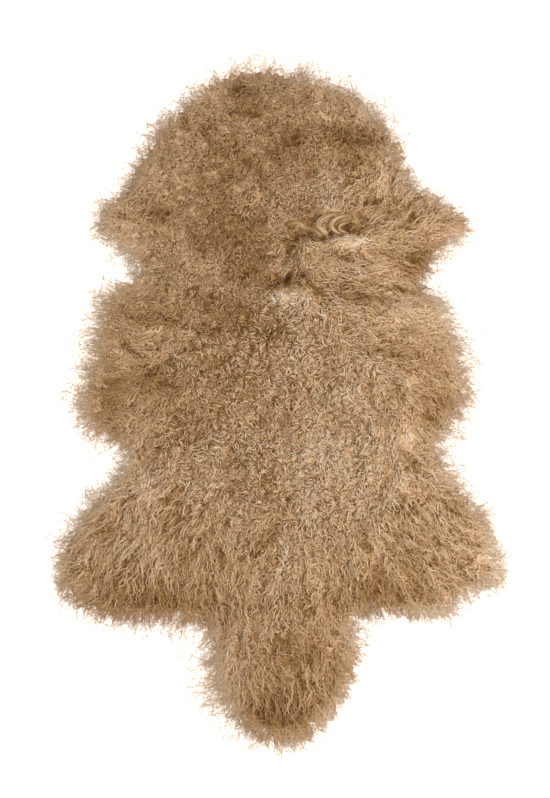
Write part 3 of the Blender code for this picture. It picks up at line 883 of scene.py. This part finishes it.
def math_node(tree, operation, first, second):
    """The sum, difference, product or other result of two outputs or values."""
    node = tree.nodes.new("ShaderNodeMath")
    node.operation = operation
    feed(tree, first, node.inputs[0])
    feed(tree, second, node.inputs[1])
    return node.outputs[0]


def multiply_colours(tree, first, second):
    """The product of two colours, channel by channel."""
    node = tree.nodes.new("ShaderNodeMix")
    node.data_type = "RGBA"
    node.blend_type = "MULTIPLY"
    for socket, value in zip((node.inputs[0], node.inputs[6], node.inputs[7]), (1.0, first, second)):
        feed(tree, value, socket)
    return node.outputs[2]


def ramp_node(tree, value, stops):
    """The colour at the value, worked out evenly between the stops."""
    node = tree.nodes.new("ShaderNodeValToRGB")
    elements = node.color_ramp.elements
    for place, colour in stops[1:-1]:
        elements.new(place).color = colour
    elements[0].position, elements[0].color = stops[0]
    elements[-1].position, elements[-1].color = stops[-1]
    feed(tree, value, node.inputs[0])
    return node.outputs[0]


def noise_node(tree, place, scale, detail, distortion=0.0):
    """Flat noise at a place on the piece's map, with swells about 1 / scale of the map wide."""
    node = tree.nodes.new("ShaderNodeTexNoise")
    node.noise_dimensions = "2D"
    feed(tree, place, node.inputs["Vector"])
    node.inputs["Scale"].default_value = scale
    node.inputs["Detail"].default_value = detail
    node.inputs["Distortion"].default_value = distortion
    return node.outputs[0]


def own_map(tree):
    """The place on the piece's own UV map."""
    node = tree.nodes.new("ShaderNodeUVMap")
    node.uv_map = "OFBake"
    return node.outputs[0]


def raise_surface(tree, shader, height, strength, distance):
    """Bumps the shader's surface by the height, up to the distance."""
    bump = tree.nodes.new("ShaderNodeBump")
    bump.inputs["Strength"].default_value = strength
    bump.inputs["Distance"].default_value = distance
    feed(tree, height, bump.inputs["Height"])
    feed(tree, bump.outputs[0], shader.inputs["Normal"])


def material_with_shader(name, roughness, specular, sheen):
    """A material, and its shader with the gloss and sheen that are the same all over it."""
    material = bpy.data.materials.new(name)
    material.use_nodes = True
    shader = material.node_tree.nodes["Principled BSDF"]
    shader.inputs["Roughness"].default_value = roughness
    shader.inputs["Specular IOR Level"].default_value = specular
    shader.inputs["Sheen Weight"].default_value = sheen
    shader.inputs["Sheen Roughness"].default_value = 0.4
    return material, shader


def wool_tones_group():
    """The colour that all strands share: a tone on a ramp of wool browns, times the painted shade and
    light of its
    place along the strand: painted shade at the root and in the troughs, and painted highlights on the
    crests of the crimp."""
    group = bpy.data.node_groups.new("wool_tones", "ShaderNodeTree")
    group.interface.new_socket("Tone", in_out="INPUT", socket_type="NodeSocketFloat")
    group.interface.new_socket("Shade", in_out="INPUT", socket_type="NodeSocketColor")
    group.interface.new_socket("Colour", in_out="OUTPUT", socket_type="NodeSocketColor")
    inside = group.nodes.new("NodeGroupInput")
    outside = group.nodes.new("NodeGroupOutput")
    brown = ramp_node(group, inside.outputs["Tone"], WOOL_BROWNS)
    feed(group, multiply_colours(group, brown, inside.outputs["Shade"]), outside.inputs["Colour"])
    return group


def wool_strand_material(name, tones, shades):
    """Wool whose colour comes from the strand's own map: its painted shade and highlights by the place
    along the strand, and its tone by the place across the map."""
    material, shader = material_with_shader(name, roughness=0.6, specular=0.08, sheen=0.0)
    tree = material.node_tree
    split = tree.nodes.new("ShaderNodeSeparateXYZ")
    feed(tree, own_map(tree), split.inputs[0])
    group = tree.nodes.new("ShaderNodeGroup")
    group.node_tree = tones
    feed(tree, ramp_node(tree, split.outputs[0], shades), group.inputs["Shade"])
    feed(tree, split.outputs[1], group.inputs["Tone"])
    feed(tree, group.outputs["Colour"], shader.inputs["Base Color"])
    return material


def wool_bed_material():
    """Matted wool between the strands: small dark and light curls, raised a little, with the tone of
    their place. Its dark browns are partly the wool's own colour and partly painted shade deep between
    the strands. A curl is where noise is near its middle: 1 - 5 |noise - 0.5|."""
    material, shader = material_with_shader("wool_bed", roughness=0.85, specular=0.1, sheen=0.0)
    tree = material.node_tree
    place = own_map(tree)
    curls = []
    for scale, distortion in BED_CURLS:
        noise = noise_node(tree, place, scale, BED_CURL_DETAIL, distortion)
        away = math_node(tree, "ABSOLUTE", math_node(tree, "SUBTRACT", noise, 0.5), 0.0)
        curls.append(math_node(tree, "SUBTRACT", 1.0, math_node(tree, "MULTIPLY", away, BED_CURL_EDGE)))
    curl = math_node(tree, "MULTIPLY", math_node(tree, "ADD", *curls), 0.5)
    tone = tree.nodes.new("ShaderNodeAttribute")
    tone.attribute_name = "tone"
    strong_tone = math_node(tree, "MULTIPLY", tone.outputs["Fac"], BED_TONE_SHARE)
    colour = ramp_node(tree, math_node(tree, "ADD", curl, strong_tone), BED_BROWNS)
    feed(tree, colour, shader.inputs["Base Color"])
    raise_surface(tree, shader, curl, strength=0.8, distance=1.5 * MM)
    return material


def tanned_skin_material():
    """Suede skin: pale buff with soft blotches and a fine nap."""
    material, shader = material_with_shader("tanned_skin", roughness=0.85, specular=0.2, sheen=0.2)
    tree = material.node_tree
    place = own_map(tree)
    blotches = noise_node(tree, place, BLOTCH_SCALE, BLOTCH_DETAIL)
    feed(tree, ramp_node(tree, blotches, SKIN_BUFFS), shader.inputs["Base Color"])
    nap = noise_node(tree, place, NAP_SCALE, NAP_DETAIL)
    raise_surface(tree, shader, nap, strength=0.3, distance=0.5 * MM)
    return material


def floor_material():
    """A plain pale floor that shines a little, as paper on a light table does."""
    material, shader = material_with_shader("pale_floor", roughness=0.9, specular=0.1, sheen=0.0)
    shader.inputs["Base Color"].default_value = (0.9, 0.9, 0.885, 1)
    shader.inputs["Emission Color"].default_value = (1, 1, 0.985, 1)
    shader.inputs["Emission Strength"].default_value = 0.85
    return material


# The pieces.


def outward_way(depth, x, y):
    """The way out of the rug at each point: down the slope of the distance inside the rim."""
    slope_x = read_field(depth, x + OUTWARD_STEP, y) - read_field(depth, x - OUTWARD_STEP, y)
    slope_y = read_field(depth, x, y + OUTWARD_STEP) - read_field(depth, x, y - OUTWARD_STEP)
    return np.arctan2(-slope_y, -slope_x)


def turn_towards(angle, target, share):
    """The angle, turned by a share of the way to the target, the short way round."""
    return angle + share * ((target - angle + math.pi) % TAU - math.pi)


def combed_grain(draw, pitch, run, x, y, heading, low, high):
    """Random grain of this pitch, averaged over a run along the way that the wool heads, with its
    spread made 1."""
    grain = noise_field(draw, pitch, low, high)
    mean = read_field(grain, x + run * np.cos(heading), y + run * np.sin(heading)).mean(axis=0)
    return mean / mean.std()


def lay_wool(draw, depth, x, y, low, high):
    """How the wool lies on the grid: the way it heads, how it curls, its grooves and its tone. Two
    sizes of random swirl turn the combed way, and near the rim it turns outwards."""
    shape = depth.values.shape
    x, y = x.ravel(), y.ravel()
    way, spread, curl, length, width, openness = comb_at(x, y)
    sway = noise_field(draw, SWAY_PITCH, low, high)
    drift = noise_field(draw, DRIFT_PITCH, low, high)
    swirl = SWAY_SHARE * read_field(sway, x, y) + DRIFT_SHARE * read_field(drift, x, y)
    near_rim = 1 - smooth_step(depth.values.ravel(), *TURNING_BAND)
    heading = turn_towards(way + spread * swirl, outward_way(depth, x, y), TURNING_SHARE * near_rim)
    groove = combed_grain(draw, GROOVE_PITCH, GROOVE_RUN, x, y, heading, low, high)
    streak = combed_grain(draw, STREAK_PITCH, STREAK_RUN, x, y, heading, low, high)
    large = read_field(noise_field(draw, BLOTCH_PITCH, low, high), x, y)
    tone = TONE_GAIN * painted_shade_and_tone_at(x, y) + BLOTCH * (STREAK_SHARE * streak + BLOTCH_SHARE * large)
    columns = (np.cos(heading), np.sin(heading), spread, curl, length, width, openness, groove, tone)
    return Lie(*(depth._replace(values=column.reshape(shape)) for column in columns))


def make_fleece(node, rim, low, high):
    """The wool bed on a grid: the solid's top, softened, sunk, and raised and lowered by small
    swells and by the grooves of the combed wool; it falls to the floor outside the rim. With it
    come the distance inside the rim and how the wool lies."""
    draw = np.random.default_rng(2)
    xs = np.arange(low[0] - MARGIN, high[0] + MARGIN, PITCH)
    ys = np.arange(low[1] - MARGIN, high[1] + MARGIN, PITCH)
    top = soften(solid_heights(node, xs, ys), TOP_PASSES)
    x, y = np.meshgrid(xs, ys)
    within = signed_distance_in_parts(x.ravel(), y.ravel(), rim).reshape(x.shape)
    depth = Field(xs[0], ys[0], PITCH, within)
    lie = lay_wool(draw, depth, x, y, low, high)
    swell = read_field(noise_field(draw, SWELL_PITCH, low, high), x, y)
    sink = BED_SINK * smooth_step(within, *BED_SINK_BAND)
    relief = SWELL_RISE * swell + GROOVE_RISE * lie.groove.values
    heights = top - sink + relief * smooth_step(within, *BED_RELIEF_BAND)
    ground = depth._replace(values=np.maximum(heights, GROUND_LOWEST))
    return Fleece(rim, low, high, ground, depth, lie)


def make_skin(rim, material):
    """The tanned skin, a flat slab of even thickness."""
    edge = inset(rim, SKIN_INSET, SKIN_STEP)

    def top(x, y):
        return np.full(x.shape, SKIN_THICKNESS)

    skin = slab("tanned_skin", edge, SKIN_PITCH, top, 0.0, SKIN_UNDERCUT, material)
    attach(skin, "root")


def make_bed(fleece, material):
    """The dense bed of wool under the strands, a slab whose top follows the ground and whose rim
    runs in and out at random, with its tone at each point for the material, which holds painted shade in
    its grooves and where the wool is open, and painted light near its rim."""
    edge = inset(fleece.rim, BED_INSET, BED_TOOTH)
    draw = np.random.default_rng(5)
    edge = edge + outward(edge) * draw.uniform(*BED_TEETH, len(edge))[:, None]

    def top(x, y):
        return np.maximum(ground_at(fleece.ground, x, y), BED_BOTTOM + BED_THINNEST)

    def creased(x, y):
        return np.abs(crease_rise(x, y)) > FINE_CREASE

    bed = slab("wool_bed", edge, BED_PITCH, top, BED_BOTTOM, BED_UNDERCUT, material, creased)
    x, y, z = vertex_places(bed.data).T
    groove = read_field(fleece.lie.groove, x, y)
    tone = read_field(fleece.lie.tone, x, y) + BED_GROOVE_TONE * groove
    tone = tone - BED_GROOVE_SHADE * smooth_step(-groove, *GROOVE_EDGE)
    tone += BED_LIGHT * (BED_OPEN_MEAN - read_field(fleece.lie.open, x, y))
    tone += BED_LIGHT * (1 - smooth_step(read_field(fleece.depth, x, y), *BED_RIM_BAND))
    underneath = z < BED_BOTTOM + BED_THINNEST / 2
    tone = np.where(underneath, 0, tone).astype(np.float32)
    bed.data.attributes.new("tone", "FLOAT", "POINT").data.foreach_set("value", tone)
    take_place(bed)


def ringlet_line(ringlet):
    """The points along a ringlet, one for each ring of its strands."""
    return open_curve(np.array(ringlet.points, float) * MM, RINGLET_RINGS + 1)


def ringlet_distance(x, y):
    """How far each point is from the nearest ringlet's line."""
    line = np.vstack([ringlet_line(ringlet) for ringlet in RINGLETS])
    return np.hypot(x[:, None] - line[:, 0], y[:, None] - line[:, 1]).min(axis=1)


def staple_roots(draw, fleece):
    """Where staples spring from the bed: a jittered triangular grid, and more of them near the rim."""
    x, y = triangular_grid(fleece.low, fleece.high, STAPLE_PITCH)
    x = x + draw.uniform(*STAPLE_JITTER, x.size) * STAPLE_PITCH
    y = y + draw.uniform(*STAPLE_JITTER, y.size) * STAPLE_PITCH
    combed = read_field(fleece.lie.curl, x, y) < COMBED_CURL
    room = read_field(fleece.depth, x, y) > ROOT_ROOM
    room &= ~combed | (draw.random(x.size) < COMBED_SHARE)
    room &= ringlet_distance(x, y) > RINGLET_ROOM
    inner = np.column_stack([x[room], y[room]])
    run = draw.uniform(0, curve_length(fleece.rim), RIM_STAPLES)
    places, out = rim_places(fleece.rim, run)
    outer = places[:, :2] - out * draw.uniform(*RIM_STAPLE_DEPTH, RIM_STAPLES)[:, None] * MM
    return np.vstack([inner, outer]).T


def draw_staples(draw, lie, x, y):
    """What the strands of each staple share: its heading strays from the comb by a share of the
    comb's spread, and the curlier its wool, the more its strands turn and the fewer their waves."""
    count = len(x)
    fields = (lie.curl, lie.length, lie.width, lie.open, lie.spread)
    curl, length, width, openness, spread = (read_field(field, x, y) for field in fields)
    heading = np.arctan2(read_field(lie.sin, x, y), read_field(lie.cos, x, y))
    heading += spread * draw.normal(0, HEADING_STRAY, count)
    curly = smooth_step(curl, *CURLY_BAND)
    way_round = draw.choice([-1, 1], count)
    turn = draw.uniform(*TURN, count)
    turn = way_round * (turn + curly * draw.uniform(*CURLY_TURN, count))
    swing = draw.uniform(*SWING_RANGE, count) * at_share(SWING, curly)
    waves = draw.uniform(*WAVES_RANGE, count) * at_share(WAVES, curly)
    phase = draw.uniform(0, TAU, count)
    length = length * draw.uniform(*LENGTH_RANGE, count)
    lift = (at_share(LIFT, openness) + draw.normal(0, LIFT_STRAY, count)) * MM
    stray = at_share(CALM, openness) * draw.normal(0, TONE_STRAY, count)
    tone = TONE_MEAN + read_field(lie.tone, x, y) + stray
    return Staples(heading, curl, curly, length, width, openness, turn, swing, waves, phase, lift, tone)


def draw_strands(draw, fleece):
    """The strands of all staples. A strand springs from a random place in its staple's disc. Its
    crimp is in step with its neighbours', so in combed wool its phase and the part of the map that
    it shows move on by how far ahead it springs. It lies lower at the staple's sides and over a
    groove, where it is also painted darker, as painted shade."""
    lie = fleece.lie
    x, y = staple_roots(draw, fleece)
    staples = draw_staples(draw, lie, x, y)
    x, y = np.repeat(x, STAPLE_STRANDS), np.repeat(y, STAPLE_STRANDS)
    shared = Staples(*(np.repeat(column, STAPLE_STRANDS) for column in staples))
    count = len(x)
    combed, openness = 1 - shared.curly, shared.open
    around = draw.uniform(0, TAU, count)
    out = np.sqrt(draw.uniform(STAPLE_CORE, 1, count)) * STAPLE_WIDTH
    out = out * at_share(STAPLE_LOOSENESS, shared.curly)
    x, y = x + out * np.cos(around), y + out * np.sin(around)
    full_length = STRAND_LENGTH * shared.length
    aside = out * np.sin(around - shared.heading)
    ahead = combed * out * np.cos(around - shared.heading) / full_length
    stray = at_share(STRAND_STRAY, shared.curly) * draw.normal(0, 1, count)
    heading = shared.heading - GATHER * aside / STAPLE_WIDTH + stray
    phase = shared.phase + TAU * shared.waves * ahead + draw.normal(0, at_share(PHASE_STRAY, combed))
    half = 0.5 * full_length
    groove = read_field(lie.groove, x + half * np.cos(heading), y + half * np.sin(heading))
    in_groove = smooth_step(-groove, *GROOVE_EDGE)
    dome = 1 - DOME * (out / STAPLE_WIDTH) ** 2
    lift = shared.lift * dome
    lift = lift + (draw.normal(0, STRAND_LIFT_STRAY, count) - GROOVE_DROP * in_groove) * MM
    radius = STRAND_RADIUS * shared.width * draw.uniform(*RADIUS_RANGE, count)
    tone = shared.tone + GROOVE_TONE * groove - at_share(GROOVE_SHADE, openness) * in_groove
    tone = tone + at_share(OPEN_TONE, openness)
    tone = tone + at_share(STRAND_TONE_STRAY, openness) * draw.normal(0, 1, count)
    at_edge = 1 - smooth_step(read_field(fleece.depth, x, y), *RIM_BAND)
    tone = tone + RIM_LIGHTER * at_edge
    length = full_length * draw.uniform(*STRAND_RANGE, count) * at_share(RIM_SHORTER, at_edge)
    start = np.maximum(FELTED_START * (1 - openness), RIM_START * at_edge)
    start = np.clip(start + ahead, *START_RANGE)
    finish = np.clip(start + length / full_length * (1 - start), *FINISH_RANGE)
    lay = (x, y, heading, shared.turn, shared.swing, shared.waves, phase, length, lift, radius)
    return Strands(*lay, shared.curl, tone, at_edge, start, finish)


def make_region(name, ground, strands, rings, droop, material):
    """One piece of strands. A strand rises from under the bed to its lift, droops towards its tip,
    and goes up and down with its crimp, a cosine of its share; its radius falls off from its root
    as 1 - taper * share ^ power."""
    roots = np.column_stack([strands.x, strands.y])
    x, y = strand_paths(roots, *strands[2:8], rings)
    share = np.linspace(0, 1, rings + 1)
    rise = smooth_step(share, *RISING) * (1 - droop * smooth_step(share, *DROOPING))
    height = -ROOT_SINK + (ROOT_SINK + strands.lift[:, None]) * rise
    crimp = -np.cos(TAU * (share / CREST - 0.5))
    edge = strands.at_edge[:, None]
    taper = 1 - at_share(TAPER, edge) * share ** at_share(TAPER_POWER, edge)
    radius = strands.radius[:, None] * at_share(RIM_THINNER, edge) * taper
    radius[:, 0] *= ROOT_NECK
    z = ground_at(ground, x, y) + height + CREST_RISE * crimp
    z = np.maximum(z, radius * RESTING + CLEARANCE)
    strand_piece(name, x, y, z, radius, strands.tone, material, strands.start, strands.finish)


def make_strands(fleece, curly_wool, combed_wool):
    """The strands over the bed, a curly and a combed piece for each region of the rug."""
    strands = draw_strands(np.random.default_rng(4), fleece)
    combed = strands.curl < COMBED_CURL
    above = math.inf
    for region, low_edge in REGIONS.items():
        inside = (strands.y > low_edge * MM) & (strands.y <= above)
        above = low_edge * MM
        for kind, chosen, *finish in (
            ("curly", inside & ~combed, CURLY_RINGS, CURLY_DROOP, curly_wool),
            ("combed", inside & combed, COMBED_RINGS, COMBED_DROOP, combed_wool),
        ):
            some = Strands(*(column[chosen] for column in strands))
            make_region(f"wool_{region}_{kind}", fleece.ground, some, *finish)


def make_fringe(fleece, material):
    """Fine loose strands that stand past the rim all round, in small tufts. How far they reach
    falls off as in an exponential law, so that the edge thins out: many short strands with few
    rings, and a few long and curly ones with more. A strand is as long as the way out to the rim
    and a few times its reach; it rests on the ground or stands a little over it."""
    draw = np.random.default_rng(9)

    def for_tufts(drawn):
        return np.repeat(drawn, FRINGE_TUFT_STRANDS)

    run = for_tufts(draw.uniform(0, curve_length(fleece.rim), FRINGE_TUFTS))
    aside = for_tufts(draw.normal(0, TUFT_STRAY, FRINGE_TUFTS))
    reach = for_tufts(draw.exponential(FRINGE_MEAN_REACH, FRINGE_TUFTS))
    count = len(run)
    least, most = FRINGE_REACH_LIMITS
    reach = np.clip(least + reach * draw.uniform(*FRINGE_REACH_RANGE, count), least, most)
    places, out = rim_places(fleece.rim, run + draw.normal(0, FRINGE_RUN_STRAY, count))
    back = for_tufts(draw.uniform(*FRINGE_ROOT_DEPTH, FRINGE_TUFTS)) * MM
    back = back + draw.normal(0, FRINGE_ROOT_STRAY, count)
    roots = places[:, :2] - out * back[:, None]
    straight_out = np.arctan2(out[:, 1], out[:, 0])
    comb = np.arctan2(places[:, 4], places[:, 3])
    curl = read_field(fleece.lie.curl, *roots.T)
    heading = turn_towards(straight_out, comb, COMB_SHARE) + aside + draw.normal(0, WISP_STRAY, count)
    length = np.maximum(back, SHORTEST_BACK) * BACK_SLACK
    length = length + at_share(REACH_SLACK, curl**2) * places[:, 2] * reach
    swing = draw.uniform(*FRINGE_SWING, count)
    turn = draw.normal(0, 1, count) * at_share(FRINGE_TURN, curl**2)
    phase = draw.uniform(0, TAU, count)
    radius = FRINGE_RADIUS * draw.uniform(*FRINGE_RADIUS_RANGE, count) * at_share(FRINGE_FINER, reach)
    stray = draw.normal(0, FRINGE_TONE_STRAY, count)
    tone = FRINGE_TONE + FRINGE_TONE_SHARE * read_field(fleece.lie.tone, *roots.T) + stray
    lift = draw.uniform(*FRINGE_LIFT, count) * MM
    short, long = length < SHORT_FRINGE, length > LONG_FRINGE
    curly = curl > CURLY_FRINGE
    upper = roots[:, 1] > 0
    for kind, chosen, rings in (
        ("short_fringe", short, 4),
        ("fringe", ~short & ~long, 5),
        ("combed_fringe", long & ~curly, 6),
        ("curly_fringe", long & curly, 8),
    ):
        for half, inside in (("upper", upper), ("lower", ~upper)):
            some = (chosen & inside).nonzero()[0]
            waves = length[some] / (draw.uniform(*FRINGE_WAVE, len(some)) * MM)
            ways = (heading[some], turn[some], swing[some], waves, phase[some], length[some])
            x, y = strand_paths(roots[some], *ways, rings)
            fits = (np.abs(x).max(axis=1) < ROOM[0]) & (np.abs(y).max(axis=1) < ROOM[1])
            x, y, some = x[fits], y[fits], some[fits]
            share = np.linspace(0, 1, rings + 1)
            thin = radius[some, None] * at_share(FRINGE_TAPER, share**2)
            rise = lift[some, None] * smooth_step(share, *FRINGE_RISING)
            z = np.maximum(read_field(fleece.ground, x, y) + rise, thin + CLEARANCE)
            strand_piece(f"{kind}_{half}", x, y, z, thin, tone[some], material)


def make_ringlets(ground, material):
    """Locks that turn over on themselves at the whorl: strands side by side along a drawn line,
    higher in the middle of the lock, and closing up at both of its ends, with painted shade down its
    sides and in its folds."""
    draw = np.random.default_rng(6)
    share = np.linspace(0, 1, RINGLET_RINGS + 1)
    closing = at_share(RINGLET_WIDTH, np.sin(math.pi * share))
    arch = np.sin(math.pi * np.clip(share, *RINGLET_ENDS)) ** 0.5
    radius = RINGLET_RADIUS * (1 - RINGLET_TAPER * share**4)
    rows = []
    for ringlet in RINGLETS:
        line = ringlet_line(ringlet)
        left = -right_of(np.gradient(line, axis=0))
        for layer, squeeze in RINGLET_LAYERS:
            for place in np.linspace(-0.5, 0.5, RINGLET_STRANDS - 2 * layer):
                sway = RINGLET_SWAY * np.sin(TAU * RINGLET_SWAYS * share + draw.uniform(0, TAU))
                aside = ringlet.width * MM * closing * squeeze * (place + sway)
                x, y = (line + aside[:, None] * left).T
                lift = RINGLET_LIFT + RINGLET_LAYER_LIFT * layer - RINGLET_CROWN * place**2
                lift = (lift + RINGLET_LIFT_STRAY * draw.normal()) * MM
                tone = RINGLET_TONE + ringlet.percent / 100 + RINGLET_TONE_STRAY * draw.normal()
                tone = tone + RINGLET_LAYER_TONE * layer - RINGLET_SIDE_SHADE * place**2
                rows.append((x, y, ground_at(ground, x, y) + lift * arch, radius, tone))
    x, y, z, radii, tone = (np.array(column) for column in zip(*rows))
    strand_piece("whorl_ringlets", x, y, z, radii, tone, material)


# The floor, the lights and the camera.


def make_floor():
    """A flat square under the rug."""
    mesh = bpy.data.meshes.new("floor")
    corners = ((-1, -1), (1, -1), (1, 1), (-1, 1))
    mesh.from_pydata([(x * FLOOR_HALF, y * FLOOR_HALF, 0) for x, y in corners], [], [(0, 1, 2, 3)])
    mesh.materials.append(floor_material())
    new_object("floor", mesh)


def add_soft_light(name, place, size, power):
    """A round lamp that shines on the middle of the rug."""
    light = bpy.data.lights.new(name, "AREA")
    light.shape = "DISK"
    light.size = size
    light.energy = power
    lamp = new_object(name, light)
    lamp.location = place
    lamp.rotation_euler = (-Vector(place)).to_track_quat("-Z", "Y").to_euler()


def light_studio():
    """Even white light from all round, a soft key from the right and a weak fill from the left."""
    world = bpy.data.worlds.new("studio")
    world.use_nodes = True
    background = world.node_tree.nodes["Background"]
    background.inputs["Color"].default_value = (1, 1, 1, 1)
    background.inputs["Strength"].default_value = 1.35
    bpy.context.scene.world = world
    add_soft_light("key", (1.6, -0.7, 2.2), size=1.2, power=60)
    add_soft_light("fill", (-1.8, 1.2, 2.4), size=2.0, power=12)


def add_camera():
    """A camera straight above the rug, whose picture is VIEW_HEIGHT high on the floor."""
    data = bpy.data.cameras.new("camera")
    data.sensor_width = SENSOR
    data.lens = SENSOR * CAMERA_HEIGHT / VIEW_HEIGHT
    camera = new_object("camera", data)
    camera.location = (VIEW_X, VIEW_Y, CAMERA_HEIGHT)
    bpy.context.scene.camera = camera


def build():
    """The rug over its solid, then its floor, lights and camera."""
    low, high = (np.array(corner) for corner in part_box("sheepskin"))
    fleece = make_fleece(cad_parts["sheepskin"], rim_curve(), low, high)
    make_skin(fleece.rim, tanned_skin_material())
    make_bed(fleece, wool_bed_material())
    tones = wool_tones_group()
    curly = wool_strand_material("wool_curly", tones, CURLY_SHADES)
    combed = wool_strand_material("wool_combed", tones, COMBED_SHADES)
    make_strands(fleece, curly, combed)
    make_fringe(fleece, wool_strand_material("wool_fringe", tones, FRINGE_SHADES))
    make_ringlets(fleece.ground, curly)
    make_floor()
    light_studio()
    add_camera()
    bpy.context.scene.view_settings.view_transform = "Standard"


build()
